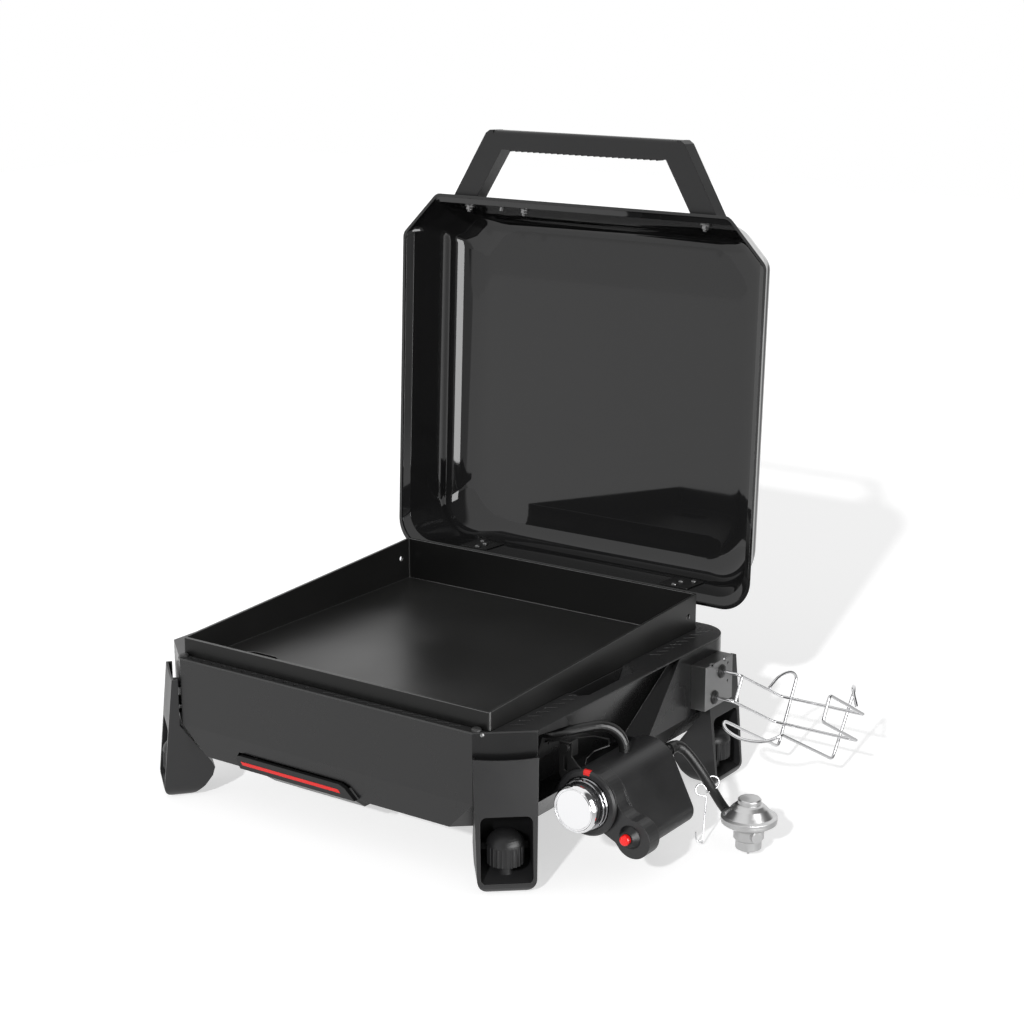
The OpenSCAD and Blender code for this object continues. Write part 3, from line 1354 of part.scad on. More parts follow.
dome_z = 45;
module regulator_body() color([0.42, 0.42, 0.43]) seated() translate([reg_x, reg_y, 0]) {
    rotate_extrude() polygon([
        [0, 0], [1.5, 0], [1.5, 6], [11, 6], [14.5, 8], [14.5, 18], [17, 20], [17, 30], [24, 34],
        [reg_d / 2, dome_z - 6.4], [reg_d / 2, dome_z - 3.4], [0, dome_z - 3.4]]);
    // outlet boss for the hose
    tip = hose_end - [reg_x, reg_y, 0];
    rod(tip - 26 * port_dir, tip, 6.5);
    // round plug on the side
    rod([0, 0, 27], [18, -13, 27], 6.5);
}

module regulator_dome() color([0.4, 0.4, 0.41]) seated() translate([reg_x, reg_y, 0])
    rotate_extrude($fn = 72) polygon([
        [0, dome_z - 3.4], [reg_d / 2 + 0.4, dome_z - 3.4], [reg_d / 2 + 0.4, dome_z], [27, dome_z + 1.5],
        [24, dome_z + 5], [20, dome_z + 10], [16, dome_z + 13.5], [13.4, dome_z + 15], [0, dome_z + 15]]);

module regulator_cap() color([0.3, 0.3, 0.31]) seated() translate([reg_x, reg_y, dome_z + 15])
    rotate_extrude() polygon([[0, 0], [13, 0], [13, 4.6], [11.8, 6], [0, 6.4]]);

body_shell();
deck_frame();
griddle_plate();
burner_tube();
burner_bracket();
grease_chute();
tray_rails();
grease_tray();
tray_handle();
tray_stripe();
gas_pipe();
valve_bracket();
bracket_screws();
pod_housing();
pod_face();
pod_bezel();
pointer_mark();
valve_body();
valve_stem();
dial_ring();
knob_grip();
knob_cap();
igniter_button();
igniter_body();
igniter_wire();
leg_front_left();
leg_front_right();
leg_rear_left();
leg_rear_right();
wheel_front_left();
wheel_front_right();
wheel_rear_left();
wheel_rear_right();
foot_front_left();
foot_front_right();
foot_rear_left();
foot_rear_right();
leg_screws();
lid_shell();
lid_handle();
handle_nuts();
lid_studs();
hinge_base_leaves();
hinge_lid_leaves();
hinge_pins();
hinge_plates();
hinge_rivets();
lid_bumpers();
deck_rivets();
rack_bracket();
rack_grommets();
rack_frame();
rack_hoop();
hose_fitting();
gas_hose();
hose_clip();
regulator_body();
regulator_dome();
regulator_cap();
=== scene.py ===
import json
import math
import bpy
import bmesh
from mathutils import Matrix, Vector


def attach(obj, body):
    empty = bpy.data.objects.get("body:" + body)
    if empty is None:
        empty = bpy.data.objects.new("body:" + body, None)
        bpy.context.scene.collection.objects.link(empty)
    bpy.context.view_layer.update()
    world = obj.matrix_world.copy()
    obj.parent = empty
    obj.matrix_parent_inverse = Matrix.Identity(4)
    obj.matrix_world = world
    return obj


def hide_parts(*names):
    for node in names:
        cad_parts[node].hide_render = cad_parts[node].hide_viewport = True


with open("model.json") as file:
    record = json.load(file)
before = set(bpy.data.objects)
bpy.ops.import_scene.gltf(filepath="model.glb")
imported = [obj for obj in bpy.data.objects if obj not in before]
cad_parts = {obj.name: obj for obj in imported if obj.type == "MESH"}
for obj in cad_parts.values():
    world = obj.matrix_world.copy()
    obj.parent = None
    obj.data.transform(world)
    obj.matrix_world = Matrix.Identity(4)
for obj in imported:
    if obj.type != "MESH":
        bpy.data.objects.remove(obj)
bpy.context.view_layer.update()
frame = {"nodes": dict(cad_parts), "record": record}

nodes = frame["nodes"]

# Points below are in the body's frame, in millimetres: x from the middle of the deck, y from the
# pan's front face, z from the ground. The part's own frame has its origin here in the body's frame.
MID_X = 69.2849
MID_Y = 276.9435
MM = 0.001


def place(x, y, z):
    """A point of the body's frame, in millimetres, as a point of the part's frame in metres."""
    return Vector(((x - MID_X) * MM, (y - MID_Y) * MM, z * MM))


def link_object(name, data):
    """A new object in the scene that shows the given mesh, curve, lamp or camera."""
    item = bpy.data.objects.new(name, data)
    bpy.context.scene.collection.objects.link(item)
    return item


# ---- Camera, fitted to the photo
CAMERA_LENS = 74.14
CAMERA_SENSOR = 36.0
CAMERA_AT = (1445.05, -1679.888, 970.0)
CAMERA_TURN, CAMERA_TILT, CAMERA_ROLL = 35.36, 75.01, -0.15


def add_camera():
    data = bpy.data.cameras.new("studio_camera")
    data.lens = CAMERA_LENS
    data.sensor_width = CAMERA_SENSOR
    data.clip_start = 0.05
    data.clip_end = 60.0
    camera = link_object("studio_camera", data)
    camera.matrix_world = (
        Matrix.Translation(place(*CAMERA_AT))
        @ Matrix.Rotation(math.radians(CAMERA_TURN), 4, "Z")
        @ Matrix.Rotation(math.radians(CAMERA_TILT), 4, "X")
        @ Matrix.Rotation(math.radians(CAMERA_ROLL), 4, "Z")
    )
    bpy.context.scene.camera = camera


add_camera()


# ---- Shader nodes and node groups
NUMBER = "NodeSocketFloat"
VECTOR = "NodeSocketVector"
# Sockets of a colour mix node, which has other kinds of value under the same names.
MIX_SHARE, MIX_A, MIX_B, MIX_RESULT = 0, 6, 7, 2


def new_group(name, inputs, outputs):
    """An empty shader node group; inputs are (name, kind, default), outputs (name, kind)."""
    group = bpy.data.node_groups.new(name, "ShaderNodeTree")
    for title, kind, default in inputs:
        socket = group.interface.new_socket(name=title, in_out="INPUT", socket_type=kind)
        socket.default_value = default
    for title, kind in outputs:
        group.interface.new_socket(name=title, in_out="OUTPUT", socket_type=kind)
    return group, group.nodes.new("NodeGroupInput"), group.nodes.new("NodeGroupOutput")


def add(tree, kind, **settings):
    """A new node with the given settings."""
    node = tree.nodes.new(kind)
    for key, value in settings.items():
        setattr(node, key, value)
    return node


def math_node(tree, operation, a, b):
    """A calculation with two values, each a number or another node's output."""
    node = add(tree, "ShaderNodeMath", operation=operation)
    for index, value in enumerate((a, b)):
        if isinstance(value, (int, float)):
            node.inputs[index].default_value = value
        else:
            tree.links.new(value, node.inputs[index])
    return node.outputs[0]


def range_node(tree, value, from_min, from_max, to_min=0.0, to_max=1.0, soft=True):
    """The value carried from one range to another, with soft ends or as a straight ramp."""
    node = add(tree, "ShaderNodeMapRange", interpolation_type="SMOOTHSTEP" if soft else "LINEAR")
    limits = {"From Min": from_min, "From Max": from_max, "To Min": to_min, "To Max": to_max}
    for title, limit in limits.items():
        node.inputs[title].default_value = limit
    tree.links.new(value, node.inputs["Value"])
    return node.outputs["Result"]


def split_node(tree, vector):
    """A node whose outputs are the X, Y and Z of the vector."""
    node = add(tree, "ShaderNodeSeparateXYZ")
    tree.links.new(vector, node.inputs[0])
    return node


def grain_group():
    """Fine even grain of moulded plastic or powder coat: a height and a patchy mask."""
    group, given, out = new_group(
        "surface_grain",
        [("Scale", NUMBER, 900.0), ("Patch Scale", NUMBER, 9.0)],
        [("Height", NUMBER), ("Patches", NUMBER)],
    )
    where = add(group, "ShaderNodeTexCoord")
    fine = add(group, "ShaderNodeTexNoise")
    fine.inputs["Detail"].default_value = 3.0
    patches = add(group, "ShaderNodeTexNoise")
    patches.inputs["Detail"].default_value = 5.0
    for noise, title in ((fine, "Scale"), (patches, "Patch Scale")):
        group.links.new(where.outputs["Object"], noise.inputs["Vector"])
        group.links.new(given.outputs[title], noise.inputs["Scale"])
    group.links.new(fine.outputs["Fac"], out.inputs["Height"])
    group.links.new(patches.outputs["Fac"], out.inputs["Patches"])
    return group


def brushed_group():
    """Lines of drawn or rolled metal: noise stretched along one direction."""
    group, given, out = new_group(
        "brushed_lines",
        [("Stretch", VECTOR, (400.0, 12.0, 400.0)), ("Wave", NUMBER, 6.0)],
        [("Height", NUMBER), ("Patches", NUMBER)],
    )
    where = add(group, "ShaderNodeTexCoord")
    stretched = add(group, "ShaderNodeVectorMath", operation="MULTIPLY")
    group.links.new(where.outputs["Object"], stretched.inputs[0])
    group.links.new(given.outputs["Stretch"], stretched.inputs[1])
    lines = add(group, "ShaderNodeTexNoise")
    lines.inputs["Scale"].default_value = 1.0
    lines.inputs["Detail"].default_value = 4.0
    group.links.new(stretched.outputs[0], lines.inputs["Vector"])
    patches = add(group, "ShaderNodeTexNoise")
    group.links.new(where.outputs["Object"], patches.inputs["Vector"])
    group.links.new(given.outputs["Wave"], patches.inputs["Scale"])
    group.links.new(lines.outputs["Fac"], out.inputs["Height"])
    group.links.new(patches.outputs["Fac"], out.inputs["Patches"])
    return group


# A normal that the bevel turns this far, as 1 less its cosine, counts as fully on an edge.
FULL_EDGE = 0.25


def edge_group():
    """Rounded edges: a normal bent over each hard edge, and a mask that is 1 along it."""
    group, given, out = new_group(
        "rounded_edges",
        [("Radius", NUMBER, 0.0008), ("Normal", VECTOR, (0.0, 0.0, 0.0))],
        [("Normal", VECTOR), ("Edge", NUMBER)],
    )
    bevel = add(group, "ShaderNodeBevel", samples=6)
    group.links.new(given.outputs["Radius"], bevel.inputs["Radius"])
    flat = add(group, "ShaderNodeNewGeometry")
    same = add(group, "ShaderNodeVectorMath", operation="DOT_PRODUCT")
    group.links.new(bevel.outputs["Normal"], same.inputs[0])
    group.links.new(flat.outputs["Normal"], same.inputs[1])
    turned = math_node(group, "SUBTRACT", 1.0, same.outputs["Value"])
    group.links.new(bevel.outputs["Normal"], out.inputs["Normal"])
    group.links.new(range_node(group, turned, 0.0, FULL_EDGE, soft=False), out.inputs["Edge"])
    return group


GRAIN = grain_group()
BRUSHED = brushed_group()
EDGES = edge_group()


def place_group(tree, group, **values):
    """A node that uses the group, with the given values on its inputs."""
    node = tree.nodes.new("ShaderNodeGroup")
    node.node_tree = group
    for key, value in values.items():
        node.inputs[key.replace("_", " ")].default_value = value
    return node


# Painted shade on front faces: a face is a front one when its normal's y lies near the first of
# these, and none at the second.
FRONT_SHADE_ENDS = (-0.95, -0.75)


def painted_front_shade(tree, shade, tone):
    """Painted shade: the same colour, but darker on faces that look to the front."""
    facing = add(tree, "ShaderNodeNewGeometry")
    split = split_node(tree, facing.outputs["Normal"])
    front = range_node(tree, split.outputs["Y"], *FRONT_SHADE_ENDS, tone, 1.0)
    dark = add(tree, "ShaderNodeMix", data_type="RGBA", blend_type="MULTIPLY")
    dark.inputs[MIX_SHARE].default_value = 1.0
    tree.links.new(shade.outputs[MIX_RESULT], dark.inputs[MIX_A])
    tree.links.new(front, dark.inputs[MIX_B])
    return dark


# Most of a noise texture's values lie between these two.
NOISE_LOW, NOISE_HIGH = 0.3, 0.7
COAT_ROUGHNESS = 0.04
# Painted highlight on edges: where no edge colour is given, edges have the piece's own colour, this
# much lighter.
HIGHLIGHT_GAIN, HIGHLIGHT_LIFT = 1.6, 0.01


def finish(
    name, colour, rough, metallic=0.0, spread=0.08, bump=0.1, grain=900.0, patch=9.0,
    brushed=None, edge_radius=0.0007, edge_colour=None, edge_highlight=0.5, coat=0.0, specular=0.5,
    tone=0.15, bump_depth=0.00008, front_shade_tone=1.0,
):
    """A material: colour with soft patches, grain or brushed lines, rounded edges with a painted
    highlight, and, where asked, painted shade on faces that look to the front.
    """
    material = bpy.data.materials.new(name)
    material.use_nodes = True
    tree = material.node_tree
    shader = tree.nodes["Principled BSDF"]
    shader.inputs["Metallic"].default_value = metallic
    shader.inputs["Specular IOR Level"].default_value = specular
    shader.inputs["Coat Weight"].default_value = coat
    shader.inputs["Coat Roughness"].default_value = COAT_ROUGHNESS
    if brushed:
        surface = place_group(tree, BRUSHED, Stretch=brushed, Wave=patch)
    else:
        surface = place_group(tree, GRAIN, Scale=grain, Patch_Scale=patch)
    edges = place_group(tree, EDGES, Radius=edge_radius)
    dark = [c * (1 - tone) for c in colour]
    light = [min(1.0, c * (1 + tone)) for c in colour]
    shade = add(tree, "ShaderNodeMix", data_type="RGBA")
    shade.inputs[MIX_A].default_value = (*dark, 1)
    shade.inputs[MIX_B].default_value = (*light, 1)
    tree.links.new(surface.outputs["Patches"], shade.inputs[MIX_SHARE])
    # Faces that look to the front get painted shade.
    if front_shade_tone < 1.0:
        shade = painted_front_shade(tree, shade, front_shade_tone)
    # Painted highlight: the edge mask mixes each edge towards a lighter colour.
    highlight_colour = edge_colour or [min(1.0, c * HIGHLIGHT_GAIN + HIGHLIGHT_LIFT) for c in colour]
    rim = add(tree, "ShaderNodeMix", data_type="RGBA")
    rim.inputs[MIX_B].default_value = (*highlight_colour, 1)
    tree.links.new(math_node(tree, "MULTIPLY", edges.outputs["Edge"], edge_highlight), rim.inputs[MIX_SHARE])
    tree.links.new(shade.outputs[MIX_RESULT], rim.inputs[MIX_A])
    tree.links.new(rim.outputs[MIX_RESULT], shader.inputs["Base Color"])
    roughness = range_node(tree, surface.outputs["Patches"], NOISE_LOW, NOISE_HIGH,
                           max(0.02, rough - spread), min(1.0, rough + spread), soft=False)
    tree.links.new(roughness, shader.inputs["Roughness"])
    relief = add(tree, "ShaderNodeBump")
    relief.inputs["Strength"].default_value = bump
    relief.inputs["Distance"].default_value = bump_depth
    tree.links.new(surface.outputs["Height"], relief.inputs["Height"])
    tree.links.new(edges.outputs["Normal"], relief.inputs["Normal"])
    tree.links.new(relief.outputs["Normal"], shader.inputs["Normal"])
    return material


ENAMEL = finish("black_gloss_enamel", (0.009, 0.009, 0.0092), 0.035, spread=0.01, bump=0.004,
                grain=60, edge_radius=0.0009, specular=0.5, tone=0.1, edge_highlight=0.3, bump_depth=0.00003)
BODY = finish("black_body_enamel", (0.007, 0.007, 0.0072), 0.26, bump=0.08, grain=1400,
              specular=0.46)
# Painted light: the deck has the body's black enamel, painted lighter so that its strip, which lies
# in the pan's shade, still shows its holes.
DECK_LIGHTENED = finish("black_deck_enamel_lightened", (0.02, 0.02, 0.0203), 0.32, bump=0.08, grain=1400, specular=0.5)
# The pan's edges get a painted highlight in their edge colour, and its front faces painted shade.
PAN = finish("dark_rolled_steel", (0.066, 0.066, 0.065), 0.33, metallic=0.8,
             brushed=(30.0, 500.0, 500.0), patch=7.0, bump=0.05, spread=0.05, edge_highlight=0.9,
             edge_radius=0.0011, edge_colour=(0.3, 0.3, 0.3), front_shade_tone=0.3)
STEEL = finish("plain_sheet_steel", (0.2, 0.2, 0.2), 0.42, metallic=1.0,
               brushed=(500.0, 20.0, 500.0))
TRAY = finish("dark_pressed_steel", (0.05, 0.05, 0.05), 0.38, metallic=1.0,
              brushed=(500.0, 20.0, 500.0))
BLACK_METAL = finish("black_pipe_paint", (0.006, 0.006, 0.006), 0.3, bump=0.1, grain=1200,
                     specular=0.45)
HANDLE = finish("black_moulded_nylon", (0.008, 0.008, 0.0083), 0.4, bump=0.3, grain=1900,
                specular=0.4)
BOOT = finish("black_boot_plastic", (0.012, 0.012, 0.0125), 0.4, bump=0.3, grain=1700,
              specular=0.5)
PLASTIC = finish("charcoal_moulded_plastic", (0.012, 0.012, 0.0126), 0.36, bump=0.3, grain=1700,
                 specular=0.5)
WHEEL = finish("charcoal_wheel_plastic", (0.01, 0.01, 0.0105), 0.42, bump=0.4, grain=1700,
               specular=0.4)
RUBBER = finish("black_rubber", (0.008, 0.008, 0.008), 0.4, bump=0.3, grain=1300, patch=30,
                specular=0.4)
RED_PAINT = finish("red_inlay", (0.62, 0.012, 0.01), 0.3, bump=0.1, tone=0.06,
                   edge_colour=(0.7, 0.03, 0.02))
RED_BUTTON = finish("red_button_plastic", (0.86, 0.007, 0.006), 0.25, coat=0.2, tone=0.05,
                    bump=0.08, edge_colour=(0.8, 0.05, 0.03))
ZINC = finish("zinc_plated_steel", (0.27, 0.27, 0.27), 0.34, metallic=1.0, patch=12, spread=0.02,
              grain=900, edge_highlight=0.3, tone=0.05, bump=0.03)
CHROME = finish("chromed_wire", (0.72, 0.72, 0.73), 0.08, metallic=1.0, spread=0.02, grain=500,
                bump=0.0, edge_radius=0.0001)
KNOB = finish("bright_turned_metal", (0.86, 0.86, 0.87), 0.1, metallic=1.0, spread=0.01,
              grain=900, patch=12, bump=0.0, tone=0.02, edge_radius=0.0003)
DIAL = finish("bright_dial_metal", (0.35, 0.35, 0.36), 0.16, metallic=1.0, spread=0.03,
              brushed=(30.0, 900.0, 900.0), patch=40, bump=0.03)
GRIP = finish("grey_grip_plastic", (0.05, 0.05, 0.052), 0.35, bump=0.3, grain=1500)
BRASS = finish("machined_brass", (0.62, 0.43, 0.16), 0.28, metallic=1.0,
               brushed=(60.0, 900.0, 900.0))
CAST = finish("cast_zinc", (0.62, 0.62, 0.62), 0.3, metallic=1.0, grain=900, bump=0.02, patch=12,
              spread=0.03, tone=0.04)
GREY_RUBBER = finish("grey_rubber", (0.03, 0.03, 0.03), 0.5, bump=0.5, grain=1300)
DARK_SCREW = finish("black_screw", (0.006, 0.006, 0.006), 0.3, bump=0.1, grain=1200,
                    specular=0.4)

# A node's finish: its own if it has one, or else that of its material slot.
SLOT_FINISH = {
    "black_enamel": BODY, "pan_steel": PAN, "plain_steel": STEEL, "tray_metal": TRAY,
    "black_metal": BLACK_METAL, "dark_plastic": HANDLE, "red_paint": RED_PAINT,
    "red_button": RED_BUTTON, "grey_plastic": PLASTIC, "wheel_plastic": WHEEL,
    "black_rubber": RUBBER, "bright_metal": ZINC, "knob_grey": GRIP, "brass": BRASS,
    "grey_rubber": GREY_RUBBER, "cast_grey": CAST, "cap_grey": CAST,
}
NODE_FINISH = {
    "lid_shell": ENAMEL, "deck_frame": DECK_LIGHTENED, "knob_cap": KNOB, "dial_ring": DIAL,
    "rack_frame": CHROME, "rack_hoop": CHROME, "hose_clip": CHROME, "hose_fitting": BLACK_METAL,
    "leg_front_left": BOOT, "leg_front_right": BOOT, "leg_rear_left": BOOT,
    "leg_rear_right": BOOT, "bracket_screws": DARK_SCREW,
}
slot_of = {row["node"]: row["material_slot"] for row in frame["record"]["subparts"]}

for node_name, node_object in nodes.items():
    node_object.data.materials.clear()
    node_object.data.materials.append(NODE_FINISH.get(node_name, SLOT_FINISH[slot_of[node_name]]))


# ---- Meshes and wires
def smooth_piece(name, points, faces, material, sharp):
    """A mesh object with rounded shading that breaks only at edges sharper than the given angle."""
    mesh = bpy.data.meshes.new(name)
    mesh.from_pydata([tuple(p) for p in points], [], faces)
    shape = bmesh.new()
    shape.from_mesh(mesh)
    bmesh.ops.recalc_face_normals(shape, faces=shape.faces)
    shape.to_mesh(mesh)
    shape.free()
    mesh.shade_smooth()
    mesh.set_sharp_from_angle(angle=math.radians(sharp))
    mesh.materials.append(material)
    return link_object(name, mesh)


def skin_rows(rows, close_ends=True):
    """Points and faces of a skin over closed rows that all have the same number of points."""
    n = len(rows[0])
    points = [p for row in rows for p in row]
    faces = []
    for i in range(len(rows) - 1):
        for k in range(n):
            a, b = i * n + k, i * n + (k + 1) % n
            faces.append((a, b, b + n, a + n))
    if close_ends:
        faces.append(tuple(reversed(range(n))))
        faces.append(tuple((len(rows) - 1) * n + k for k in range(n)))
    return points, faces


LATHE_SIDES = 72
LATHE_SHARP = 32.0
LATHE_MIN_R = 0.01


def lathe(name, profile, centre, material):
    """A turned piece about an axis along y; the profile is (radius, y) in body millimetres."""
    turns = [2 * math.pi * k / LATHE_SIDES for k in range(LATHE_SIDES)]
    rows = []
    for radius, y in profile:
        r = max(radius, LATHE_MIN_R)
        rows.append([place(centre[0] + r * math.cos(turn), y, centre[1] + r * math.sin(turn))
                     for turn in turns])
    points, faces = skin_rows(rows)
    return smooth_piece(name, points, faces, material, LATHE_SHARP)


def spline_points(points, steps):
    """Points of a smooth line through all the given ones."""
    last = len(points) - 1
    line = []
    for i in range(last):
        a = points[max(i - 1, 0)]
        b = points[i]
        c = points[i + 1]
        d = points[min(i + 2, last)]
        for step in range(steps):
            t = step / steps
            line.append(0.5 * (2 * b + (c - a) * t + (2 * a - 5 * b + 4 * c - d) * t ** 2
                               + (3 * b - a - 3 * c + d) * t ** 3))
    line.append(points[last])
    return line


STRAIGHT_ON = math.radians(88)
LONGEST_REACH = 0.45


def rounded_route(points, radius, steps):
    """A route of straight runs whose corners are arcs of the given radius.

    A corner that hardly turns stays a point, and an arc takes at most LONGEST_REACH of each run.
    """
    route = [points[0]]
    for a, b, c in zip(points, points[1:], points[2:]):
        to_a, to_c = (a - b).normalized(), (c - b).normalized()
        half = to_a.angle(to_c) / 2
        if half > STRAIGHT_ON:
            route.append(b)
            continue
        reach = min(radius / math.tan(half), (a - b).length * LONGEST_REACH,
                    (c - b).length * LONGEST_REACH)
        bend = reach * math.tan(half)
        middle = b + (to_a + to_c).normalized() * (bend / math.sin(half))
        first = (b + to_a * reach - middle).normalized()
        last = (b + to_c * reach - middle).normalized()
        side = (last - first * first.dot(last)).normalized()
        turn = first.angle(last)
        for i in range(steps + 1):
            t = turn * i / steps
            route.append(middle + bend * (first * math.cos(t) + side * math.sin(t)))
    route.append(points[-1])
    return route


def wire_curve(name, points, radius, material, sides=5):
    """A round wire or hose along the points."""
    data = bpy.data.curves.new(name, "CURVE")
    data.dimensions = "3D"
    data.bevel_depth = radius
    data.bevel_resolution = sides
    data.use_fill_caps = True
    spline = data.splines.new("POLY")
    spline.points.add(len(points) - 1)
    for item, point in zip(spline.points, points):
        item.co = (*point, 1.0)
    data.materials.append(material)
    return link_object(name, data)


TUBE_SIDES = 28
TUBE_SHARP = 40.0


def tapered_tube(name, line, radii, material):
    """A tube along a line whose radius changes from point to point."""
    turns = [2 * math.pi * k / TUBE_SIDES for k in range(TUBE_SIDES)]
    rows = []
    # Any direction that no part of the line runs along gives the first ring its start.
    across = Vector((0.31, 0.53, 0.79))
    for i, point in enumerate(line):
        ahead = (line[min(i + 1, len(line) - 1)] - line[max(i - 1, 0)]).normalized()
        across = (across - ahead * across.dot(ahead)).normalized()
        other = ahead.cross(across)
        rows.append([point + radii[i] * (across * math.cos(turn) + other * math.sin(turn))
                     for turn in turns])
    points, faces = skin_rows(rows)
    return smooth_piece(name, points, faces, material, TUBE_SHARP)


# ---- Lid
DECK_FRONT, DECK_TOP = -13.5, 175.5
RIM_Z = DECK_TOP - 2
LID_FRONT = DECK_FRONT - 9.5
# Width, depth and height, thickness of the sheet, and width of the hem round the rim.
LID_W, LID_D, LID_H, LID_T, HEM_W = 538.8, 476.0, 92.0, 1.5, 3.5
# The front corners are cut off by this much of the width and of the depth.
LID_CUT = (54.6, 53.3)
HINGE_Y, HINGE_Z = 469.4, 172.2
LID_ANGLE = 92.76
# The front wall leans in by this much for each millimetre of height.
DROP = 0.285
# Each row: height above the rim, insets of sides, front and rear, radii of the front and rear
# corners, inset of the cut corners.
LID_SECTION = [
    (0, 0, 0, 0, 14, 40, 0), (2.5, 2.2, 2.2, 2.2, 14, 40, 0.6),
    (7, 11, 7 * DROP + 7.6, 11, 14, 38, 2.5),
    (28, 18.6, 28 * DROP + 7.6, 11, 15, 44, 8.4), (52, 27, 52 * DROP + 7.6, 11, 16, 50, 18),
    (62, 29, 25.5, 11.2, 18, 52, 23), (71, 33, 28.5, 12.5, 20, 54, 28),
    (79, 39, 31.5, 15.5, 24, 56, 34), (85.5, 47, 35.5, 20, 28, 60, 42),
    (89.6, 57, 40, 26, 32, 64, 51), (91.1, 65, 42.5, 32, 35, 67, 60),
    (91.8, 72, 45, 38, 37, 70, 68), (LID_H, 80, 48, 45, 40, 73, 76),
]
# The walls are the first rows, and the bend into the top panel starts at the last of them.
WALL_ROWS = 4
BEND_STEPS = 4
TOP_PANEL_INSET = 3
# The inner skin lies LID_T to the side of the walls and, from one row to another of the bend, comes
# to lie LID_T below the panel instead.
INNER_SIDE, INNER_SIDE_LOST = 1.05, 0.75
INNER_TURN_FROM, INNER_TURN_ROWS = 8, 18
CUT_STEPS, REAR_STEPS = 8, 20
LID_SHARP = 40.0


def corner_arc(a, p, b, q, radius, steps):
    """Arc between the outline's side at distance p facing angle a and the one at q facing b."""
    turn = math.sin(b - a)
    corner = Vector(((p * math.sin(b) - q * math.sin(a)) / turn,
                     (q * math.cos(a) - p * math.cos(b)) / turn))
    na, nb = Vector((math.cos(a), math.sin(a))), Vector((math.cos(b), math.sin(b)))
    centre = corner - radius * (na + nb) / (1 + na.dot(nb))
    arc = []
    for i in range(steps + 1):
        t = a + (b - a) * i / steps
        arc.append(centre + radius * Vector((math.cos(t), math.sin(t))))
    return arc


def lid_outline(side, front, rear, cut_r, rear_r, cut_in):
    """The lid's outline at one height: cut corners in front, round ones at the rear."""
    w, d = LID_W / 2, LID_D / 2
    lean = math.atan2(LID_CUT[0], LID_CUT[1])
    cut_a = math.pi / 2 - lean
    cut = (w - LID_CUT[0] / 2) * math.cos(cut_a) + (d - LID_CUT[1] / 2) * math.sin(cut_a) - cut_in
    quarter = math.pi / 2
    return (
        corner_arc(0, w - side, cut_a, cut, cut_r, CUT_STEPS)
        + corner_arc(cut_a, cut, quarter, d - front, cut_r, CUT_STEPS)
        + corner_arc(quarter, d - front, quarter + lean, cut, cut_r, CUT_STEPS)
        + corner_arc(quarter + lean, cut, 2 * quarter, w - side, cut_r, CUT_STEPS)
        + corner_arc(2 * quarter, w - side, 3 * quarter, d - rear, rear_r, REAR_STEPS)
        + corner_arc(3 * quarter, d - rear, 4 * quarter, w - side, rear_r, REAR_STEPS)
    )


def lid_row(row, inset, drop):
    """One closed row of the lid's skin, already swung open about the hinge."""
    height, side, front, rear, cut_r, rear_r, cut_in = row
    swing = Matrix.Rotation(math.radians(-LID_ANGLE), 4, "X")
    hinge = place(0, HINGE_Y, HINGE_Z)
    outline = lid_outline(side + inset, front + inset, rear + inset, cut_r, rear_r, cut_in + inset)
    middle = LID_FRONT + LID_D / 2
    return [hinge + swing @ (place(x, middle - y, RIM_Z + height - drop) - hinge)
            for x, y in outline]


def fine_section():
    """The lid's section with the bend between wall and top panel drawn as a smooth curve."""
    rows = [Vector(row) for row in LID_SECTION]
    return rows[:WALL_ROWS - 1] + spline_points(rows[WALL_ROWS - 1:], BEND_STEPS)


def add_lid():
    """The lid's pressed sheet as one closed skin: outside, top panel, inside and hem."""
    section = fine_section()
    outer = [lid_row(row, 0, 0) for row in section]
    inner = []
    for i, row in enumerate(section[1:], start=1):
        share = max(0.0, min(1.0, (i - INNER_TURN_FROM) / INNER_TURN_ROWS))
        inner.append(lid_row(row, LID_T * (INNER_SIDE - INNER_SIDE_LOST * share), LID_T * share))
    hem = lid_row(section[0], HEM_W, 0)
    outer.append(lid_row(LID_SECTION[-1], TOP_PANEL_INSET, 0))
    inner.append(lid_row(LID_SECTION[-1], TOP_PANEL_INSET, LID_T))
    points, faces = skin_rows([hem] + outer, close_ends=False)
    more_points, more_faces = skin_rows(inner[::-1] + [hem], close_ends=False)
    n = len(hem)
    start = len(points)
    faces += [tuple(v + start for v in face) for face in more_faces]
    faces.append(tuple(range(start - n, start)))
    faces.append(tuple(reversed(range(start, start + n))))
    lid = smooth_piece("lid_pressing", points + more_points, faces, ENAMEL, LID_SHARP)
    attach(lid, "lid")
    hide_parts("lid_shell")


add_lid()


# ---- Bottle rack
RACK_TILT = math.radians(29.2)
RACK_START = (282.5, 385.4, 143.6)
TROUGH_W, RAIL_GAP, REACH = 112.0, 32.0, 141.0
RAIL_R, CROSS_R, HOOP_R = 1.95 * MM, 1.8 * MM, 1.9 * MM
RAIL_BEND, RAIL_BEND_STEPS = 5 * MM, 8
HOOP_STEPS = 4


def rack_point(a, b, c):
    """a outwards from the cover, b along the trough's slope, c square to both, downwards."""
    return place(RACK_START[0] + a,
                 RACK_START[1] + b * math.cos(RACK_TILT) - c * math.sin(RACK_TILT),
                 RACK_START[2] - b * math.sin(RACK_TILT) - c * math.cos(RACK_TILT))


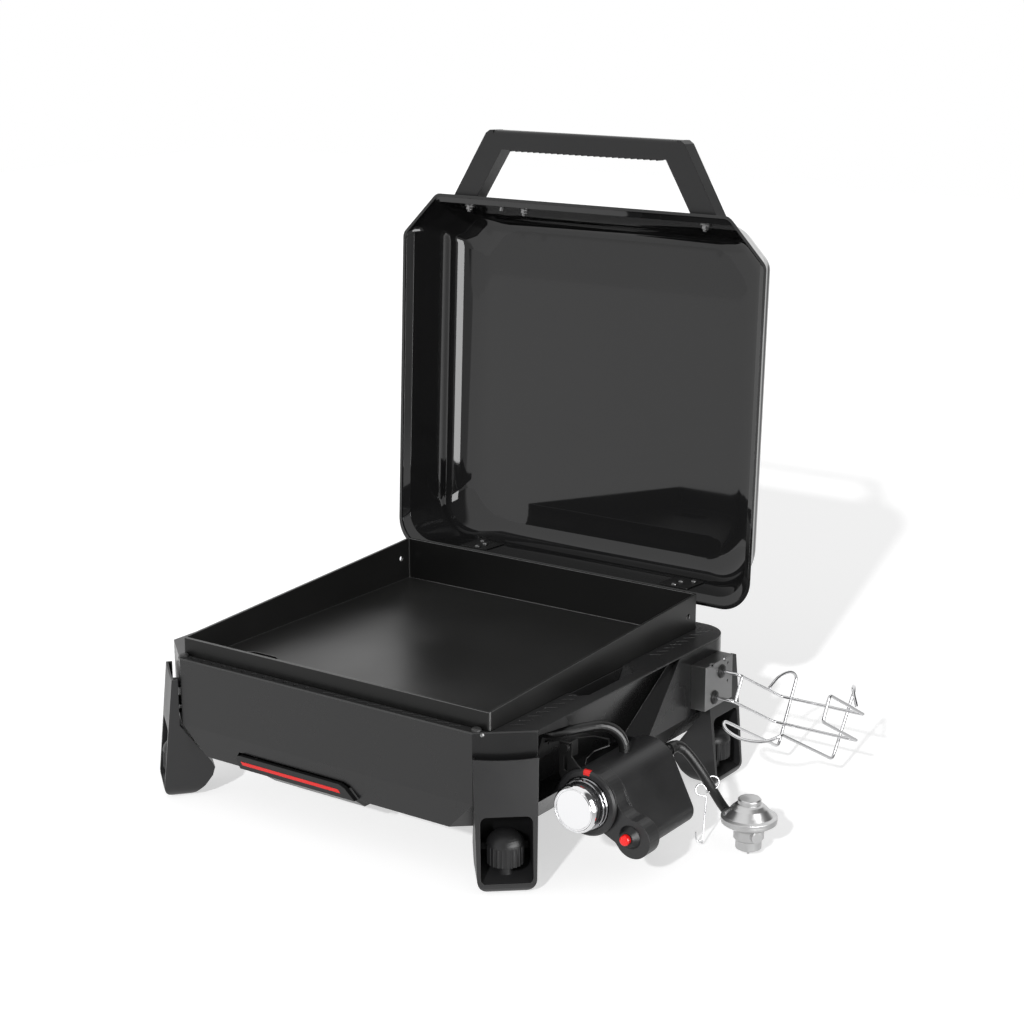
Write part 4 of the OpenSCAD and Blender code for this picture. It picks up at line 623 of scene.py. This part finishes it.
def hoop_line():
    """The rack's second wire: arcs over both rails, straight legs and a drooping front loop."""
    leg = TROUGH_W + 4
    near_arc = [(28, 76.5, -3), (28.5, 80.5, -8.5), (30.5, 84.5, -16.5), (33, 91, -24),
                (36, 100, -29.5), (38.5, 108, -30.5), (40, leg - 1.5, -27), (40, leg, -21)]
    droop = [(40, -30, 60.5), (40, -36, 61.5), (41.5, -40, 64.5), (47, -41, 70),
             (56, -38.5, 74), (66, -36, 76), (78, -34.5, 76), (90, -34, 74),
             (101, -34, 70), (109, -34, 64.5), (112, -30, 60.5)]
    far_arc = [(117, leg, -19), (118.5, leg - 2, -26), (121, 106, -29.5), (124.5, 95, -28.5),
               (129, 85.5, -24), (134, 83, -15.5), (138, 83.5, -8), (139.8, 84, -4)]
    corner_a = [(40, leg, 53), (40, leg - 1.6, 58), (40, leg - 7, 60)]
    corner_b = [(113, leg - 7, 60), (113, leg - 1.6, 58), (113.2, leg, 53)]
    line = []
    for piece in (near_arc, corner_a, droop, corner_b, far_arc):
        line += spline_points([rack_point(*p) for p in piece], HOOP_STEPS)
    return line


def add_rack():
    """The rack's first wire with its cross wire, and the second wire over it."""
    w = TROUGH_W
    rails = [rack_point(*p) for p in (
        (-4, 0, 0), (25, 0, 0), (28, w, 0), (139.5, w, 0), (REACH, 2.5, 0), (REACH, 2.5, RAIL_GAP),
        (139.5, w, RAIL_GAP), (28, w, RAIL_GAP), (25, 0, RAIL_GAP), (-4, 0, RAIL_GAP))]
    rail_route = rounded_route(rails, RAIL_BEND, RAIL_BEND_STEPS)
    cross_route = [rack_point(25, 6, 0), rack_point(25, 6, RAIL_GAP)]
    frame_wire = wire_curve("rack_rails", rail_route, RAIL_R, CHROME)
    cross_wire = wire_curve("rack_cross_wire", cross_route, CROSS_R, CHROME)
    hoop_wire = wire_curve("rack_hoop_wire", hoop_line(), HOOP_R, CHROME)
    wires = ((frame_wire, "rack_frame"), (cross_wire, "rack_frame"), (hoop_wire, "rack_hoop"))
    for wire, node in wires:
        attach(wire, "base")
        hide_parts(node)


add_rack()


# ---- Knob
KNOB_AXIS = (306.5, 95.0)
KNOB_FRONT = 34.0
KNOB_R = 26.5
# Radius less than the knob's and depth behind its front, from the face's ring groove to the back.
KNOB_PROFILE = [
    (5.2, 0.9), (4.6, 1.5), (3.6, 1.5), (3.2, 0.3), (2.6, 0), (1.8, 0.5), (0.7, 2.2), (0, 4.4),
    (0, 7.6), (0.4, 8.5), (1, 9),
]


def add_knob_cap():
    """The turned cap with its ring groove and plain face."""
    profile = [(KNOB_R - less, KNOB_FRONT + depth) for less, depth in KNOB_PROFILE]
    profile = [(0, profile[0][1])] + profile + [(0, profile[-1][1])]
    cap = lathe("knob_cap_turned", profile, KNOB_AXIS, KNOB)
    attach(cap, "knob")
    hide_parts("knob_cap")


add_knob_cap()


# ---- Hose
HOSE_POINTS = [
    (320.5, 203, 112), (320.5, 208, 112), (320.5, 213, 112), (323, 219, 111.5), (328, 224, 107),
    (334, 228, 99), (340, 232, 89), (346, 236, 78), (351, 240, 67), (356, 245, 55), (361, 250, 43),
    (366, 254.5, 33), (371, 256.5, 27), (376, 254, 25), (381, 250.5, 25), (386, 247, 25),
]
HOSE_D = 11 * MM
HOSE_STEPS = 4
# The strain relief covers the first points of the hose's line. It stands off the hose by less and
# less, and every second ring is a little wider.
SLEEVE_POINTS = 17
SLEEVE_OFF, SLEEVE_OFF_LOST, SLEEVE_RIB = 2.1, 1.7, 0.25 * MM
CLIP_R = 0.9 * MM
CLIP_STEPS = 5
CLIP_WIRE = [
    (350.9, 241.3, 72.5), (353.2, 243.7, 74.6), (358.1, 246.6, 73.0), (360.6, 246.8, 68.1),
    (359.6, 244.3, 62.7), (355.7, 240.3, 59.0), (352.2, 237.3, 57.4), (350.8, 237.0, 56.9),
    (349.8, 237.0, 60.9), (345.4, 235.3, 66.0), (341.9, 232.5, 64.9), (340.4, 229.9, 60.6),
    (342.4, 229.8, 55.8), (347.4, 232.6, 53.6), (351.2, 234.8, 52.0), (352.2, 232.4, 42.3),
    (353.2, 228.9, 29.3), (354.6, 224.4, 13.5), (355.4, 221.8, 3.9), (353.8, 220.9, 2.5),
    (352.8, 220.5, 5.1), (351.5, 219.8, 3.5), (349.8, 219.0, 5.0), (348.5, 218.8, 10.3),
    (348.3, 219.2, 14.7),
]


def add_hose():
    """The hose, its strain relief at the pod and the wire clip that hangs on it."""
    line = spline_points([place(*p) for p in HOSE_POINTS], HOSE_STEPS)
    hose = wire_curve("gas_hose_rubber", line, HOSE_D / 2, RUBBER, sides=8)
    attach(hose, "base")
    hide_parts("gas_hose")
    taper = []
    for i in range(SLEEVE_POINTS):
        off = SLEEVE_OFF - SLEEVE_OFF_LOST * i / (SLEEVE_POINTS - 1)
        taper.append(HOSE_D / 2 + off * MM + (SLEEVE_RIB if i % 2 else 0.0))
    sleeve = tapered_tube("hose_relief_sleeve", line[:SLEEVE_POINTS], taper, RUBBER)
    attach(sleeve, "base")
    clip_line = spline_points([place(*p) for p in CLIP_WIRE], CLIP_STEPS)
    clip = wire_curve("hose_clip_wire", clip_line, CLIP_R, CHROME, sides=3)
    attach(clip, "base")
    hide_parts("hose_clip")


add_hose()


# ---- Floor, light and background
FLOOR_HALF = 6.0
FLOOR_Z = -0.0005
FLOOR_GREY = 0.6
FLOOR_GLOW = 0.58
# The floor's glow fades out to the right in mirrors, between these places.
GLOW_ENDS = (0.15, 0.5)
# Mirrors see a darker background to the right: between these directions it loses this share.
DARK_SIDE_ENDS = (0.15, 0.4)
DARK_SIDE_SHARE = 0.9
# Strength of the background in the light that it casts. What rays see of it is 1.
SKY_LIGHT = 0.5


def add_floor():
    """A floor that takes shadows and glows white to the camera, and in mirrors on the left."""
    mesh = bpy.data.meshes.new("studio_floor")
    corners = [(x * FLOOR_HALF, y * FLOOR_HALF, 0) for x, y in ((-1, -1), (1, -1), (1, 1), (-1, 1))]
    mesh.from_pydata(corners, [], [(0, 1, 2, 3)])
    floor = link_object("studio_floor", mesh)
    floor.location.z = FLOOR_Z
    material = bpy.data.materials.new("white_floor")
    material.use_nodes = True
    tree = material.node_tree
    tree.nodes.clear()
    out = add(tree, "ShaderNodeOutputMaterial")
    lit = add(tree, "ShaderNodeBsdfDiffuse")
    lit.inputs["Color"].default_value = (FLOOR_GREY, FLOOR_GREY, FLOOR_GREY, 1)
    glow = add(tree, "ShaderNodeEmission")
    rays = add(tree, "ShaderNodeLightPath")
    where = add(tree, "ShaderNodeTexCoord")
    split = split_node(tree, where.outputs["Object"])
    left_of_end = range_node(tree, split.outputs["X"], *GLOW_ENDS, 1.0, 0.0)
    mirrored = math_node(tree, "MULTIPLY", rays.outputs["Is Glossy Ray"], left_of_end)
    seen = math_node(tree, "MAXIMUM", rays.outputs["Is Camera Ray"], mirrored)
    tree.links.new(math_node(tree, "MULTIPLY", seen, FLOOR_GLOW), glow.inputs["Strength"])
    both = add(tree, "ShaderNodeAddShader")
    tree.links.new(lit.outputs[0], both.inputs[0])
    tree.links.new(glow.outputs[0], both.inputs[1])
    tree.links.new(both.outputs[0], out.inputs["Surface"])
    mesh.materials.append(material)


def add_world():
    """A white background, darker to the right in mirrors."""
    world = bpy.data.worlds.new("studio_world")
    bpy.context.scene.world = world
    world.use_nodes = True
    tree = world.node_tree
    tree.nodes.clear()
    out = add(tree, "ShaderNodeOutputWorld")
    sky = add(tree, "ShaderNodeBackground")
    sky.inputs["Color"].default_value = (1, 1, 1, 1)
    rays = add(tree, "ShaderNodeLightPath")
    where = add(tree, "ShaderNodeTexCoord")
    split = split_node(tree, where.outputs["Generated"])
    dark_side = range_node(tree, split.outputs["X"], *DARK_SIDE_ENDS, 0.0, DARK_SIDE_SHARE)
    seen = math_node(tree, "MAXIMUM", rays.outputs["Is Camera Ray"], rays.outputs["Is Glossy Ray"])
    seen = math_node(tree, "MAXIMUM", seen, rays.outputs["Is Transmission Ray"])
    more_seen = math_node(tree, "MULTIPLY", seen, 1.0 - SKY_LIGHT)
    bright = math_node(tree, "ADD", more_seen, SKY_LIGHT)
    unlit = math_node(tree, "MULTIPLY", rays.outputs["Is Glossy Ray"], dark_side)
    strength = math_node(tree, "MULTIPLY", bright, math_node(tree, "SUBTRACT", 1.0, unlit))
    tree.links.new(strength, sky.inputs["Strength"])
    tree.links.new(sky.outputs[0], out.inputs["Surface"])


KEY_DIRECTION = (-0.232, 0.853, -0.472)
KEY_STRENGTH = 2.7
KEY_WIDTH = math.radians(2.0)
# The strip lamp stands low on the right and shines level to the left.
STRIP_AT = (0.75, -0.32, 0.24)
STRIP_TARGET = (-0.2, -0.32, 0.24)
STRIP_SIZE = (0.62, 0.46)
STRIP_POWER = 7.5


def aim(lamp, direction):
    """Turn the lamp to shine in the given direction."""
    lamp.rotation_euler = Vector(direction).to_track_quat("-Z", "Y").to_euler()


def add_key_light():
    """A distant lamp low in front, so that the lid's shadow falls back and to the right."""
    data = bpy.data.lights.new("key_light", "SUN")
    data.energy = KEY_STRENGTH
    data.angle = KEY_WIDTH
    lamp = link_object("key_light", data)
    aim(lamp, KEY_DIRECTION)
    lamp.visible_glossy = False


def add_strip_lamp():
    """A card that gives shiny pieces their highlights, such as the line in the lid's left bend.

    It lights nothing else, because matt surfaces don't see it.
    """
    data = bpy.data.lights.new("side_strip_lamp", "AREA")
    data.energy = STRIP_POWER
    data.normalize = True
    data.shape = "RECTANGLE"
    data.size, data.size_y = STRIP_SIZE
    lamp = link_object("side_strip_lamp", data)
    lamp.location = STRIP_AT
    aim(lamp, Vector(STRIP_TARGET) - Vector(STRIP_AT))
    lamp.visible_diffuse = False


add_floor()
add_world()
add_key_light()
add_strip_lamp()
bpy.context.scene.view_settings.view_transform = "Standard"
